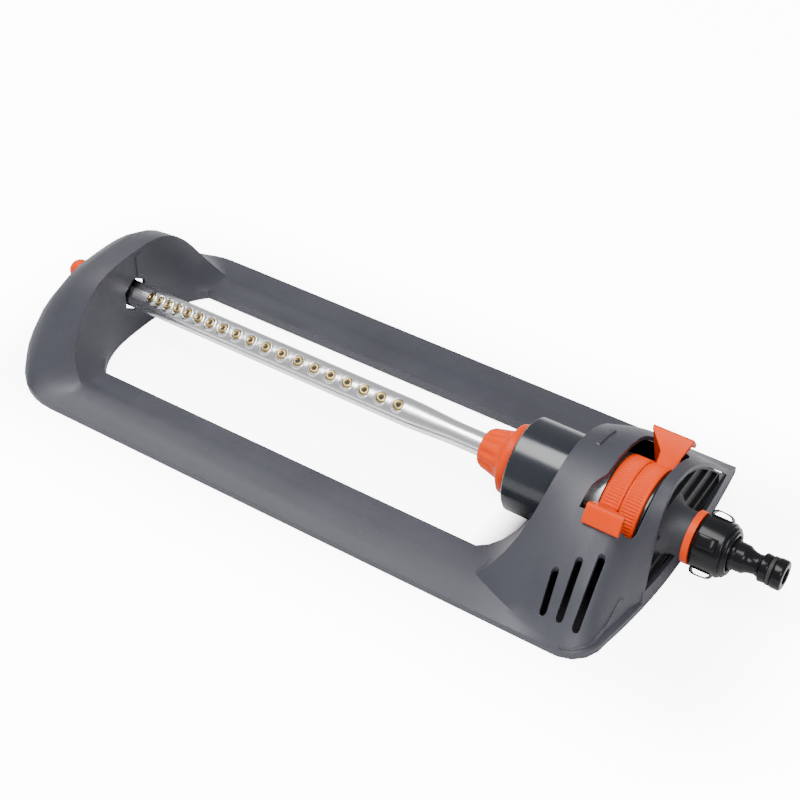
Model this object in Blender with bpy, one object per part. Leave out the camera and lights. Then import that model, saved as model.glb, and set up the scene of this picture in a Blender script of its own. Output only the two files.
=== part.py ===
# Oscillating garden sprinkler on a low moulded frame.
# Metres, +Z up. X runs from the end plug (-) to the hose nipple (+), the photo's front is -Y.
# The spray tube turns about an axis along X at AXIS_Z above the lawn.

import math

import bmesh
import bpy
from mathutils import Matrix, Vector

MM = 0.001

# Overall size and clearances
AXIS_Z = 30 * MM
SEAT_GAP = 0.3 * MM
RUN_GAP = 0.4 * MM

# Frame: rails
HALF_WIDTH = 91 * MM
CREASE_Y = 71 * MM
OPENING_Y = 51.5 * MM
LIP_Z = 4.3 * MM
CREASE_Z = 8 * MM
EDGE_Z = 7.6 * MM
EDGE_FOOT_Z = 1 * MM
SHELL = 2.5 * MM

# Frame: arch at the left end
END_X = -241.7 * MM
END_BULGE = 2 * MM
END_CORNER = 48 * MM
RIDGE_X = END_X + 46 * MM
RIDGE_SWEEP = 15 * MM
ARCH_Z = 61.5 * MM
MOUTH_LEFT_X = RIDGE_X - 1.5 * MM
MOUTH_LEFT_SWEEP = 16.5 * MM
ARCH_HOLE_Y = 9.5 * MM
ARCH_HOLE_Z = 12.5 * MM
BOSS_LEFT_X = END_X + 5.3 * MM
BOSS_RIGHT_X = BOSS_LEFT_X + 14.9 * MM
BOSS_WALL = 2 * MM

# Motor casing
MOTOR_X = 92.8 * MM
MOTOR_RADIUS = 28.5 * MM
MOTOR_WALL = 2.5 * MM
MOTOR_END_X = MOTOR_X + 49.2 * MM
MOTOR_CHAMFER = 0.8 * MM
COLLAR_GAP = 0.6 * MM
EAR_X = MOTOR_END_X - 13 * MM
EAR_Y = 33.5 * MM
EAR_Z = 29 * MM
EAR_WALL = 3 * MM
EAR_RADIUS = 4.5 * MM
COLUMN_RADIUS = 3.4 * MM
COLUMN_TOP_Z = 48 * MM

# Casing cover and the dial on it
BAND_WIDTH = 7.4 * MM
BAND_SEAT = 27.2 * MM
BAND_WALL = 1.5 * MM
NECK_RADIUS = 24 * MM
NECK_WALL = 2 * MM
RING_LEFT_X = MOTOR_END_X + BAND_WIDTH + 1 * MM
RING_WIDTH = 11.4 * MM
RING_RADII = (NECK_RADIUS + 5.4 * MM, NECK_RADIUS + 5 * MM)
RING_RIBS = 40
RIB_DEPTH = 0.5 * MM
KEEPER_X = RING_LEFT_X + 2 * (RING_WIDTH + SEAT_GAP)
KEEPER_WALL = 2.6 * MM
KEEPER_LENGTH = 1.4 * MM
NECK_END_X = KEEPER_X + KEEPER_LENGTH + 0.4 * MM
WING_RADIUS = 48.5 * MM
WING_WALL = 3 * MM
WING_HOOK = 11.5
WING_SPREAD = 22 * MM
WING_FLARE_RADIUS = 37.5 * MM
WING_ANGLES = (50, -48)

# Frame: hood at the right end
FOOT_X = MOTOR_X + 11.5 * MM
MOUTH_RIGHT_X = MOTOR_X - 0.4 * MM
MOUTH_REACH = 14.4 * MM
HOOD_MOUTH_X = MOTOR_END_X - 17.7 * MM
HOOD_Z = 62.3 * MM
HOOD_CROWN = 2.2 * MM
HOOD_LEAN_Y = 2 * MM
FRONT_HOLLOW = 0.15
BASE_END_X = NECK_END_X + 14.6 * MM
HOOD_EDGE_X = BASE_END_X - 8.4 * MM
FRONT_BOW = 10.6 * MM
REAR_BOW = 5.6 * MM
END_STEP = 0.6 * MM
END_LEAN = 0.1
FRONT_CORNER = 19 * MM
WRAP_Y = -37 * MM
BAND_END = 3 * MM
FOOT_END_Z = 6 * MM

# Frame: cuts in the hood
SLOT_LEFT_X = RING_LEFT_X - 0.6 * MM
SLOT_RIGHT_X = NECK_END_X + 1.4 * MM
SLOT_FRONT_Y = -35.5 * MM
SLOT_REAR_Y = 36 * MM
SLOT_FLOOR_Z = 36 * MM
SLOT_CORNER = 6 * MM
NOTCH_LEFT_X = SLOT_LEFT_X - 4.6 * MM
NOTCH_REAR_Y = -14 * MM
NOTCH_TAPER = 13 * MM
VENT_WIDTH = 4 * MM
VENT_FOOT_Y = -79 * MM
VENT_LEAN = 2.4 * MM
VENT_X = RING_LEFT_X - 2.1 * MM
VENTS = ((VENT_X, -64 * MM), (VENT_X + 9.9 * MM, -57 * MM), (VENT_X + 19.7 * MM, -50.5 * MM))
WINDOW_MARGIN = 2.4 * MM
WINDOW_SILL_Z = 10.5 * MM

# Drive inside the casing
MODULE = 1.28 * MM
SUN_TEETH = 9
PLANET_TEETH = 12
RING_TEETH = 33
PLANETS = 3
TOOTH_REACH = 0.85
TOOTH_ROOT = 1.15
TOOTH_SHARE = 0.4
GEAR_X = MOTOR_X + 8.2 * MM
GEAR_WIDTH = 5 * MM
CARRIER_X = GEAR_X - 3 * MM
CARRIER_RADIUS = 17.5 * MM
CARRIER_WALL = 2.4 * MM
HUB_RADIUS = 8 * MM
HUB_BORE = 5 * MM
PLANET_PIN = 1.5 * MM
GEAR_PLATE_X = GEAR_X + GEAR_WIDTH + 1.4 * MM
PLATE_WALL = 2 * MM
SHAFT_RADIUS = 1.6 * MM
ROTOR_X = GEAR_PLATE_X + 7.6 * MM
ROTOR_WIDTH = 8 * MM
ROTOR_RADIUS = 20 * MM
ROTOR_HUB = 5 * MM
ROTOR_BLADES = 12
BLADE_WALL = 1.2 * MM
JET_PLATE_X = ROTOR_X + ROTOR_WIDTH + 3.6 * MM
FLOW_CIRCLE = 15 * MM
FLOW_HOLE = 3 * MM
LEVER_X = JET_PLATE_X + 3.8 * MM
LEVER_Y = 12 * MM
LEVER_LENGTH = 18 * MM
LEVER_WIDTH = 5 * MM
LEVER_WALL = 3 * MM
LEVER_PIN = 1.2 * MM
SHAFT_END_X = LEVER_X - 0.4 * MM

# Sleeve and spray tube
FLANGE_X = MOTOR_X - 9.8 * MM
FLANGE_RADIUS = 21.3 * MM
FLANGE_WALL = 9 * MM
SLEEVE_LEFT_X = FLANGE_X - 16.7 * MM
SLEEVE_TIP = 12 * MM
SLEEVE_ROOT = 15.5 * MM
HUB_LEFT_X = FLANGE_X - 3.7 * MM
FLUTES = 12
FLUTE_DEPTH = 1.2 * MM
TUBE_RADIUS = 7.1 * MM
TUBE_WALL = 1 * MM
TUBE_LEFT_X = BOSS_RIGHT_X + 2.5 * MM
TUBE_RIGHT_X = HUB_LEFT_X - 2 * MM
ROW_TILT = 29
NOZZLES = 19
FIRST_NOZZLE_X = TUBE_LEFT_X + 39.5 * MM
PITCH_FIRST = 6.5 * MM
PITCH_LAST = 12.2 * MM
PITCH_GROWTH = 10
NOZZLE_RADIUS = 2.6 * MM
NOZZLE_COLLAR = 2.9 * MM
NOZZLE_COLLAR_WALL = 0.9 * MM
NOZZLE_BORE = 0.7 * MM
NOZZLE_STAND = 1.3 * MM
NOZZLE_DEPTH = 3.6 * MM
FAN_MIDDLE_X = FIRST_NOZZLE_X + 94.5 * MM
FAN_PER_METRE = 200

# End plug
BALL_X = END_X - 1.9 * MM
BALL_RADIUS = 7.2 * MM
PLUG_RADIUS = 5.6 * MM
PLUG_RIGHT_X = TUBE_LEFT_X + 10 * MM
PLUG_GROOVE_X = TUBE_LEFT_X + 5 * MM
BUSH_WALL = 1.5 * MM
SEAL_SECTION = 0.9 * MM

# Inlet
SPIGOT_RADIUS = 11.8 * MM
SPIGOT_BORE = 8.5 * MM
INLET_RING_X = BASE_END_X + 6.7 * MM
INLET_RING_RADIUS = 15.4 * MM
INLET_RING_WIDTH = 3.9 * MM
GRILLE_WALL = 6.5 * MM
GRILLE_BACK = 3.2 * MM
GRILLE_RECESS = 0.6 * MM
GRILLE_RIM = 1.2 * MM
SLAT_WALL = 1.1 * MM
SLATS_Z = (21 * MM, 35.4 * MM, 49.6 * MM)
GRILLE_BOSS_WALL = 1.3 * MM
BOSS_FLARE = 6 * MM
BOSS_FLARE_LENGTH = 9 * MM
NUT_X = INLET_RING_X + INLET_RING_WIDTH + RUN_GAP
NUT_LENGTH = 20 * MM
NUT_RADIUS = 15.7 * MM
NUT_STEP = 1.3 * MM
NUT_LUGS = 4
LUG_REACH = 3.8 * MM
LUG_WIDTH = 10 * MM
NUT_MOUTH = 10.2 * MM
SPIGOT_END_X = NUT_X + 9.8 * MM
WASHER_WALL = 1.8 * MM
FILTER_WALL = 1 * MM
FILTER_LENGTH = 14 * MM
NIPPLE_FLANGE_WALL = 2.4 * MM
NIPPLE_FLANGE = 11.2 * MM
NIPPLE_SHANK = 8.9 * MM
NIPPLE_SHANK_END_X = SPIGOT_END_X + 17 * MM
NIPPLE_WAIST = 5.9 * MM
NIPPLE_WAIST_X = NIPPLE_SHANK_END_X + 7 * MM
NIPPLE_COLLAR = 8.2 * MM
NIPPLE_COLLAR_X = NIPPLE_WAIST_X + 2 * MM
NIPPLE_GROOVE_X = NIPPLE_COLLAR_X + 5.4 * MM
NIPPLE_TIP = 8.65 * MM
NIPPLE_END_X = NIPPLE_GROOVE_X + 8.4 * MM
NIPPLE_BORE = 4.6 * MM

# Screws
SCREW_RADIUS = 1.6 * MM
SCREW_HEAD = 3 * MM
SCREW_HEAD_WALL = 2 * MM
SCREW_LENGTH = 9 * MM

ROUND = 32
COARSE = 20


def clear_scene():
    for found in list(bpy.data.objects):
        bpy.data.objects.remove(found, do_unlink=True)


def make_material(name, colour, roughness, metallic=0.0):
    made = bpy.data.materials.new(name)
    made.use_nodes = True
    shader = made.node_tree.nodes["Principled BSDF"]
    shader.inputs["Base Color"].default_value = (*colour, 1)
    shader.inputs["Roughness"].default_value = roughness
    shader.inputs["Metallic"].default_value = metallic
    return made


def add_object(name, mesh, material, location=(0, 0, 0)):
    made = bpy.data.objects.new(name, mesh)
    bpy.context.collection.objects.link(made)
    made.location = location
    mesh.materials.append(material)
    return made


def mesh_of(name, shape, sharp=35):
    bmesh.ops.recalc_face_normals(shape, faces=shape.faces)
    mesh = bpy.data.meshes.new(name)
    shape.to_mesh(mesh)
    shape.free()
    mesh.shade_smooth()
    mesh.set_sharp_from_angle(angle=math.radians(sharp))
    return mesh


def hide(helper):
    helper.hide_render = True
    helper.display_type = "WIRE"
    return helper


def cut(target, helper, operation="DIFFERENCE"):
    """Cuts a hidden helper from the target, or joins it on."""
    change = target.modifiers.new(f"{operation.lower()} {helper.name}", "BOOLEAN")
    change.operation = operation
    change.solver = "EXACT"
    change.object = hide(helper)


def turned(name, outline, material, steps=ROUND, location=(0, 0, AXIS_Z), axis="X", wave=None):
    """Turns a closed outline of (along, radius) points; wave may change the radius round the turn."""
    shape = bmesh.new()
    rings = []
    for step in range(steps):
        angle = math.tau * step / steps
        turn = Matrix.Rotation(angle, 4, axis)
        ring = []
        for along, radius in outline:
            if wave:
                radius = wave(along, radius, angle)
            point = (along, 0, radius) if axis == "X" else (radius, 0, along)
            ring.append(shape.verts.new(turn @ Vector(point)))
        rings.append(ring)
    count = len(outline)
    for step in range(steps):
        here = rings[step]
        there = rings[(step + 1) % steps]
        for point in range(count):
            after = (point + 1) % count
            if outline[point][1] + outline[after][1] > 0:
                shape.faces.new((here[point], here[after], there[after], there[point]))
    bmesh.ops.remove_doubles(shape, verts=shape.verts, dist=0.001 * MM)
    return add_object(name, mesh_of(name, shape), material, location)


def tube_outline(left, right, outer, inner):
    return [(left, inner), (left, outer), (right, outer), (right, inner)]


def disc_outline(left, right, radius):
    return [(left, 0), (left, radius), (right, radius), (right, 0)]


def prism(name, outline, low, high, material, axis="Z", location=(0, 0, 0)):
    """Extrudes a flat outline from low to high along one axis."""
    places = {
        "X": lambda a, b, c: (c, a, b),
        "Y": lambda a, b, c: (a, c, b),
        "Z": lambda a, b, c: (a, b, c),
    }
    place = places[axis]
    shape = bmesh.new()
    floor = [shape.verts.new(place(a, b, low)) for a, b in outline]
    roof = [shape.verts.new(place(a, b, high)) for a, b in outline]
    shape.faces.new(floor)
    shape.faces.new(roof)
    count = len(outline)
    for point in range(count):
        after = (point + 1) % count
        shape.faces.new((floor[point], floor[after], roof[after], roof[point]))
    return add_object(name, mesh_of(name, shape), material, location)


def rounded_box(low, high, radius, steps=4):
    """The outline of a rectangle with round corners, as (a, b) points."""
    points = []
    centres = (
        (high[0] - radius, high[1] - radius),
        (low[0] + radius, high[1] - radius),
        (low[0] + radius, low[1] + radius),
        (high[0] - radius, low[1] + radius),
    )
    for quarter, centre in enumerate(centres):
        for step in range(steps + 1):
            turn = math.pi / 2 * (quarter + step / steps)
            points.append((centre[0] + radius * math.cos(turn), centre[1] + radius * math.sin(turn)))
    return points


def capsule(start, end, width, steps=5):
    """The outline of a slot with round ends between two flat points."""
    along = (Vector(end) - Vector(start)).normalized()
    heading = math.atan2(along.y, along.x)
    points = []
    for centre, offset in ((Vector(end), -math.pi / 2), (Vector(start), math.pi / 2)):
        for step in range(steps + 1):
            turn = heading + offset + math.pi * step / steps
            points.append((centre.x + width / 2 * math.cos(turn), centre.y + width / 2 * math.sin(turn)))
    return points


def circle(radius, steps, centre=(0, 0), phase=0.0):
    turns = [phase + math.tau * step / steps for step in range(steps)]
    return [(centre[0] + radius * math.cos(turn), centre[1] + radius * math.sin(turn)) for turn in turns]


def drill(target, places, radius, low, high, material, axis="X", steps=12, operation="DIFFERENCE"):
    """Cuts or adds round bars along one axis at several (a, b) places."""
    for number, centre in enumerate(places, 1):
        helper = prism(
            f"{target.name} bar {radius / MM:.1f} {number}",
            circle(radius, steps, centre),
            low,
            high,
            material,
            axis,
            target.location,
        )
        cut(target, helper, operation)


def gear_edge(teeth, inside=False, phase=0.0):
    """Tooth outline round the origin as (y, z) points, four to a tooth."""
    pitch = MODULE * teeth / 2
    side = -1 if inside else 1
    tip = pitch + side * TOOTH_REACH * MODULE
    root = pitch - side * TOOTH_ROOT * MODULE
    share = math.tau / teeth
    points = []
    for tooth in range(teeth):
        middle = phase + share * tooth
        for offset, radius in ((-0.25, root), (-TOOTH_SHARE / 4, tip), (TOOTH_SHARE / 4, tip), (0.25, root)):
            turn = middle + share * offset
            points.append((radius * math.cos(turn), radius * math.sin(turn)))
    return points


def holed_prism(name, edge, other_radius, low, high, material, location=(0, 0, AXIS_Z)):
    """A prism along X between a shaped edge and a plain circle with as many points."""
    shape = bmesh.new()
    loops = []
    for x in (low, high):
        shaped = [shape.verts.new((x, y, z)) for y, z in edge]
        plain = []
        for y, z in edge:
            length = math.hypot(y, z)
            plain.append(shape.verts.new((x, y / length * other_radius, z / length * other_radius)))
        loops.append((shaped, plain))
    (left_shaped, left_plain), (right_shaped, right_plain) = loops
    count = len(edge)
    for point in range(count):
        after = (point + 1) % count
        for first, second in (
            (left_shaped, right_shaped),
            (left_plain, right_plain),
            (left_shaped, left_plain),
            (right_shaped, right_plain),
        ):
            shape.faces.new((first[point], first[after], second[after], second[point]))
    return add_object(name, mesh_of(name, shape), material, location)


def blend(first, second, share):
    return first + (second - first) * share


# Frame


def rim_x(y):
    """Left end of the base outline: a gently bulged end with round corners."""
    flat = HALF_WIDTH - END_CORNER
    if abs(y) <= flat:
        return END_X + END_BULGE * (y / flat) ** 2
    return END_X + END_BULGE + END_CORNER - math.sqrt(max(END_CORNER**2 - (abs(y) - flat) ** 2, 0))


SKIN_SHARES = (0, 0.05, 0.15, 0.33, 0.6, 1)
SLOPE_SHARES = (0.25, 0.5, 0.75)


def skin(rim, ridge, bulge):
    """Outer skin of a station, from its foot to its ridge; bulge 1 is the arch's round shoulder."""
    points = [Vector((rim[0], rim[1], 0))]
    for share in SKIN_SHARES:
        round_rise = (1 - (1 - share) ** 2.4) ** (1 / 2.4)
        rise = blend(share, round_rise, bulge)
        points.append(
            Vector(
                (
                    blend(rim[0], ridge[0], share),
                    blend(rim[1], ridge[1], share),
                    blend(LIP_Z, ridge[2], rise),
                )
            )
        )
    return points


def slope(ridge, edge):
    """The inner side of a station, from below its ridge to the mouth's edge and down to its rim."""
    points = [ridge.lerp(edge, share) for share in SLOPE_SHARES]
    return points + [edge, Vector((edge.x, edge.y, EDGE_FOOT_Z))]


def left_station(turn):
    """One section of the rails and the arch; turn runs from -1 at the front rail to 1 at the rear rail."""
    swing = math.sin(turn * math.pi / 2)
    rim_y = HALF_WIDTH * swing
    ridge_y = CREASE_Y * swing
    height = max(1 - abs(swing) ** 3.2, 0) ** 1.05
    ridge = (RIDGE_X + RIDGE_SWEEP * abs(swing) ** 14, ridge_y, blend(CREASE_Z, ARCH_Z, height))
    points = skin((rim_x(rim_y), rim_y), ridge, height)
    edge_x = MOUTH_LEFT_X + MOUTH_LEFT_SWEEP * abs(swing) ** 3
    return points + slope(points[-1], Vector((edge_x, OPENING_Y * swing, EDGE_Z)))


def rail_station(x, side, edge_x):
    points = skin((x, side * HALF_WIDTH), (x, side * CREASE_Y, CREASE_Z), 0)
    return points + slope(points[-1], Vector((edge_x, side * OPENING_Y, EDGE_Z)))


def end_x(y):
    """Right end of the base outline: a shallow bow, deeper on the front side."""
    bow = FRONT_BOW if y < 0 else REAR_BOW
    return BASE_END_X - bow * (y / HALF_WIDTH) ** 2


def wall_x(y, z):
    """Outer face of the end wall, which leans in towards its top."""
    return end_x(y) - END_STEP - END_LEAN * z


def front_rim(share):
    """Base outline from the front foot of the hood round the corner to the wrap, with its inward normal."""
    corner_y = FRONT_CORNER - HALF_WIDTH
    corner_x = end_x(corner_y) - FRONT_CORNER
    straight = corner_x - FOOT_X
    arc = FRONT_CORNER * math.pi / 2
    way = share * (straight + arc + WRAP_Y - corner_y)
    if way <= straight:
        return Vector((FOOT_X + way, -HALF_WIDTH, 0)), Vector((0, 1, 0))
    if way <= straight + arc:
        turn = (way - straight) / FRONT_CORNER
        inward = Vector((-math.sin(turn), math.cos(turn), 0))
        return Vector((corner_x, corner_y, 0)) - inward * FRONT_CORNER, inward
    y = corner_y + way - straight - arc
    return Vector((end_x(y), y, 0)), Vector((-1, 0, 0))


def rear_rim(share):
    return Vector((blend(FOOT_X, end_x(HALF_WIDTH), share), HALF_WIDTH, 0)), Vector((0, -1, 0))


FLANK_SHARES = (0.93, 0.85, 0.75, 0.64, 0.52, 0.4, 0.28, 0.16)


def hood_section(share):
    """One row of the hood from the front foot over the ridge to the rear foot."""
    ease = min(share / 0.5, 1)
    band = blend(HALF_WIDTH - CREASE_Y, BAND_END, math.sin(ease * math.pi / 2))
    foot_z = blend(CREASE_Z, FOOT_END_Z, share)
    top = Vector(
        (
            blend(HOOD_MOUTH_X, HOOD_EDGE_X, share),
            HOOD_LEAN_Y * share,
            HOOD_Z + HOOD_CROWN * math.sin(math.pi * share),
        )
    )
    sides = []
    front_power = 1 + FRONT_HOLLOW * math.sin(math.pi * share)
    for rim, power in ((front_rim, front_power), (rear_rim, blend(0.95, 1.5, share))):
        base, inward = rim(share)
        foot = base + inward * band
        points = skin(base, (foot.x, foot.y, foot_z), 0)
        reach = blend(5, 1.6, ease)
        for flank in FLANK_SHARES:
            points.append(
                Vector(
                    (
                        blend(top.x, foot.x, flank**reach),
                        blend(top.y, foot.y, flank),
                        blend(foot_z, top.z, (1 - flank**2) ** power),
                    )
                )
            )
        sides.append(points)
    section = sides[0] + [top] + sides[1][::-1]
    if share == 1:
        for point in section[len(SKIN_SHARES) : len(section) - len(SKIN_SHARES)]:
            point.x = wall_x(point.y, point.z)
    return section


def mouth_edge(count):
    """Inner edge of the hood's mouth: along the lawn side first, then round the motor casing."""
    clear = MOTOR_RADIUS - COLLAR_GAP
    points = []
    low = math.asin((EDGE_Z - AXIS_Z) / clear)
    start = Vector((MOUTH_RIGHT_X, -OPENING_Y, EDGE_Z))
    meet = Vector((MOUTH_RIGHT_X + MOUTH_REACH, -clear * math.cos(low), EDGE_Z))
    corner = Vector((blend(start.x, meet.x, 0.86), blend(start.y, meet.y, 0.2), EDGE_Z))
    flat = 4
    for step in range(count):
        if step <= flat:
            share = step / flat
            points.append((1 - share) ** 2 * start + 2 * share * (1 - share) * corner + share**2 * meet)
            continue
        share = (step - flat) / (count - 1 - flat)
        turn = blend(math.pi - low, math.pi / 2, share)
        x = blend(meet.x, HOOD_MOUTH_X - SEAT_GAP, math.sin(share * math.pi / 2))
        points.append(Vector((x, clear * math.cos(turn), AXIS_Z + clear * math.sin(turn))))
    return points


def frame_sheets():
    """Grids of points that cover the frame's outer skin, and the rows that start at the lip."""
    halves = 14
    stations = [rail_station(FOOT_X, -1, MOUTH_RIGHT_X), rail_station(0, -1, 0)]
    stations += [left_station(step / halves - 1) for step in range(2 * halves + 1)]
    stations += [rail_station(0, 1, 0), rail_station(FOOT_X, 1, MOUTH_RIGHT_X)]

    rows = 16
    sections = [hood_section(step / rows) for step in range(rows + 1)]
    lips = stations + sections + [section[::-1] for section in sections]

    band = len(SKIN_SHARES)
    mouth = sections[0][band : len(sections[0]) - band]
    front = mouth_edge(len(mouth) // 2 + 1)
    front[0] = stations[0][-2]
    inner = front + [Vector((point.x, -point.y, point.z)) for point in front[-2::-1]]
    flange = []
    for point in inner:
        from_axis = Vector((point.y, point.z - AXIS_Z)).length
        on_casing = from_axis < MOTOR_RADIUS
        flange.append(point if on_casing else Vector((point.x, point.y, EDGE_FOOT_Z)))

    last = sections[-1]
    bell = last[band : len(last) - band]
    base = [Vector((end_x(point.y), point.y, 0)) for point in bell]
    base[0] = last[0]
    base[-1] = last[-1]
    wall = [list(corners) for corners in zip(bell, bell[1:], base[1:], base)]
    wall[0] += last[1:band]
    wall[-1] = [bell[-1], *last[len(last) - band :], *wall[-1][3:], bell[-2]]
    steps = [[point.lerp(end, share) for point, end in zip(mouth, inner)] for share in SLOPE_SHARES]
    return (stations, sections, [mouth, *steps, inner, flange]), wall, lips


def frame_mesh():
    """The frame as a shell: an outer skin, an inner skin one wall inside it, and the two rims between."""
    sheets, wall, lips = frame_sheets()
    keys = {}
    points = []

    def number(point):
        # The offset keeps round sizes away from the border between two keys.
        key = tuple(math.floor(value / (0.02 * MM) + 0.3) for value in point)
        if key not in keys:
            keys[key] = len(points)
            points.append(point)
        return keys[key]

    def tidy(corners):
        return [corner for place, corner in enumerate(corners) if corner != corners[place - 1]]

    faces = []
    for rows in sheets:
        numbers = [[number(point) for point in row] for row in rows]
        for first, second in zip(numbers, numbers[1:]):
            for corners in zip(first, first[1:], second[1:], second):
                corners = tidy(corners)
                if len(corners) > 2:
                    faces.append(corners)

    faces += [[number(point) for point in corners] for corners in wall]
    end_wall = {number(point) for corners in wall for point in corners}
    inside_of = list(range(len(points)))
    for row in lips:
        lip = row[1]
        for point in row[2 : len(SKIN_SHARES)]:
            if (point - lip).length < 1.15 * SHELL:
                inside_of[number(point)] = number(lip)
    *steps, edge = sheets[-1][1:-1]
    for step in steps:
        for point, rim in zip(step, edge):
            if (point - rim).length < 2.4 * SHELL:
                inside_of[number(point)] = number(rim)

    shape = bmesh.new()
    outer = [shape.verts.new(point) for point in points]
    for corners in faces:
        shape.faces.new([outer[corner] for corner in corners])
    bmesh.ops.recalc_face_normals(shape, faces=shape.faces)
    highest = max(shape.faces, key=lambda face: face.calc_center_median().z)
    if highest.normal.z < 0:
        bmesh.ops.reverse_faces(shape, faces=shape.faces)
    shape.normal_update()
    rims = [tuple(outer.index(end) for end in edge.verts) for edge in shape.edges if edge.is_boundary]
    on_rim = {corner for pair in rims for corner in pair}
    inner = {}
    for corner in sorted(set(inside_of)):
        vertex = outer[corner]
        normal = vertex.normal.copy()
        factor = min(vertex.calc_shell_factor(), 1.6)
        if corner in on_rim:
            normal.z = 0
            normal.normalize()
            factor = 1
        place = vertex.co - normal * SHELL * factor
        if corner in end_wall:
            place.x = min(place.x, vertex.co.x - SHELL)
        inner[corner] = shape.verts.new(place)
    for corners in faces:
        corners = tidy([inside_of[corner] for corner in corners])
        if len(set(corners)) > 2:
            shape.faces.new([inner[corner] for corner in corners])
    for first, second in rims:
        inside = (inner[inside_of[second]], inner[inside_of[first]])
        shape.faces.new((outer[first], outer[second], *inside))
    return shape


def hood_edge():
    """The hood's right edge seen along X, from the front foot to the rear foot, as (y, z)."""
    last = hood_section(1)
    band = len(SKIN_SHARES)
    return [(point.y, point.z) for point in last[band : len(last) - band]]


def window_outline(margin):
    """The window in the hood's end wall: its right edge drawn in by a margin, closed along a sill."""
    edge = hood_edge()
    sill = WINDOW_SILL_Z - WINDOW_MARGIN + margin
    points = []
    count = len(edge)
    for index, (y, z) in enumerate(edge):
        before = Vector(edge[max(index - 1, 0)])
        after = Vector(edge[min(index + 1, count - 1)])
        along = (after - before).normalized()
        inward = Vector((along.y, -along.x))
        y += inward.x * margin
        z += inward.y * margin
        if z > sill + 1 * MM:
            points.append((y, z))
    left_y = points[0][0] - 1.5 * MM
    right_y = points[-1][0] + 1.5 * MM
    return [(left_y, sill)] + points + [(right_y, sill)]


def leaning_prism(name, outline, left, right, material):
    """A plate that follows the hood's end wall, from left to right of its outer face."""
    shape = bmesh.new()
    back = [shape.verts.new((wall_x(y, z) + left, y, z)) for y, z in outline]
    face = [shape.verts.new((wall_x(y, z) + right, y, z)) for y, z in outline]
    shape.faces.new(back)
    shape.faces.new(face)
    count = len(outline)
    for point in range(count):
        after = (point + 1) % count
        shape.faces.new((back[point], back[after], face[after], face[point]))
    return add_object(name, mesh_of(name, shape), material)


def make_frame(grey):
    frame = add_object("frame", mesh_of("frame", frame_mesh()), grey)
    wide = ARCH_HOLE_Y / math.cos(math.pi / 6)
    hole = [(wide * y, AXIS_Z + ARCH_HOLE_Z * z) for y, z in circle(1, 6, (0, 0), math.pi / 2)]
    left = RIDGE_X - 2 * SHELL
    cut(frame, prism("arch hole block", hole, left, left + 4 * SHELL, grey, "X"))
    mouth = disc_outline(MOUTH_RIGHT_X, MOTOR_END_X, MOTOR_RADIUS + COLLAR_GAP)
    cut(frame, turned("casing mouth block", mouth, grey, 40))
    slot = rounded_box((SLOT_LEFT_X, SLOT_FRONT_Y), (SLOT_RIGHT_X, SLOT_REAR_Y), SLOT_CORNER)
    cut(frame, prism("slot block", slot, SLOT_FLOOR_Z, 2 * HOOD_Z, grey))
    notch = [(SLOT_LEFT_X + SLOT_CORNER, NOTCH_REAR_Y), (SLOT_LEFT_X, NOTCH_REAR_Y)]
    for share in (0.25, 0.5, 0.75, 1):
        bulge = math.sin(share * math.pi / 2)
        notch.append((blend(SLOT_LEFT_X, NOTCH_LEFT_X, bulge), NOTCH_REAR_Y - NOTCH_TAPER * share))
    notch += [(NOTCH_LEFT_X, SLOT_FRONT_Y), (SLOT_LEFT_X + SLOT_CORNER, SLOT_FRONT_Y)]
    cut(frame, prism("slot notch block", notch, SLOT_FLOOR_Z, 2 * HOOD_Z, grey))
    for number, (x, top_y) in enumerate(VENTS, 1):
        vent = capsule((x, top_y), (x + VENT_LEAN, VENT_FOOT_Y), VENT_WIDTH)
        cut(frame, prism(f"vent block {number}", vent, FOOT_END_Z, HOOD_Z, grey))
    window = window_outline(WINDOW_MARGIN)
    cut(frame, leaning_prism("window block", window, -2 * SHELL, 2 * SHELL, grey))
    ears = [(EAR_X, side * EAR_Y) for side in (-1, 1)]
    drill(frame, ears, COLUMN_RADIUS, EAR_Z + SEAT_GAP, COLUMN_TOP_Z, grey, "Z", 12, "UNION")
    pilot = SCREW_RADIUS + SEAT_GAP
    screw_top = EAR_Z - EAR_WALL - SEAT_GAP + SCREW_LENGTH
    drill(frame, ears, pilot, EAR_Z, screw_top + SEAT_GAP, grey, "Z")
    bush_seat = PLUG_RADIUS + RUN_GAP + BUSH_WALL + SEAT_GAP
    boss = disc_outline(BOSS_LEFT_X, BOSS_RIGHT_X, bush_seat + BOSS_WALL)
    cut(frame, turned("boss block", boss, grey, COARSE), "UNION")
    bore = disc_outline(END_X - BALL_RADIUS, BOSS_RIGHT_X + SHELL, bush_seat)
    cut(frame, turned("bush seat block", bore, grey, COARSE))


def between(outline, low, high):
    """The part of a flat outline between two heights."""
    for level, side in ((low, 1), (high, -1)):
        kept = []
        for (y, z), (next_y, next_z) in zip(outline, outline[1:] + outline[:1]):
            inside = side * (z - level) >= 0
            next_inside = side * (next_z - level) >= 0
            if inside:
                kept.append((y, z))
            if inside != next_inside:
                share = (level - z) / (next_z - z)
                kept.append((blend(y, next_y, share), level))
        outline = kept
    return outline


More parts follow.
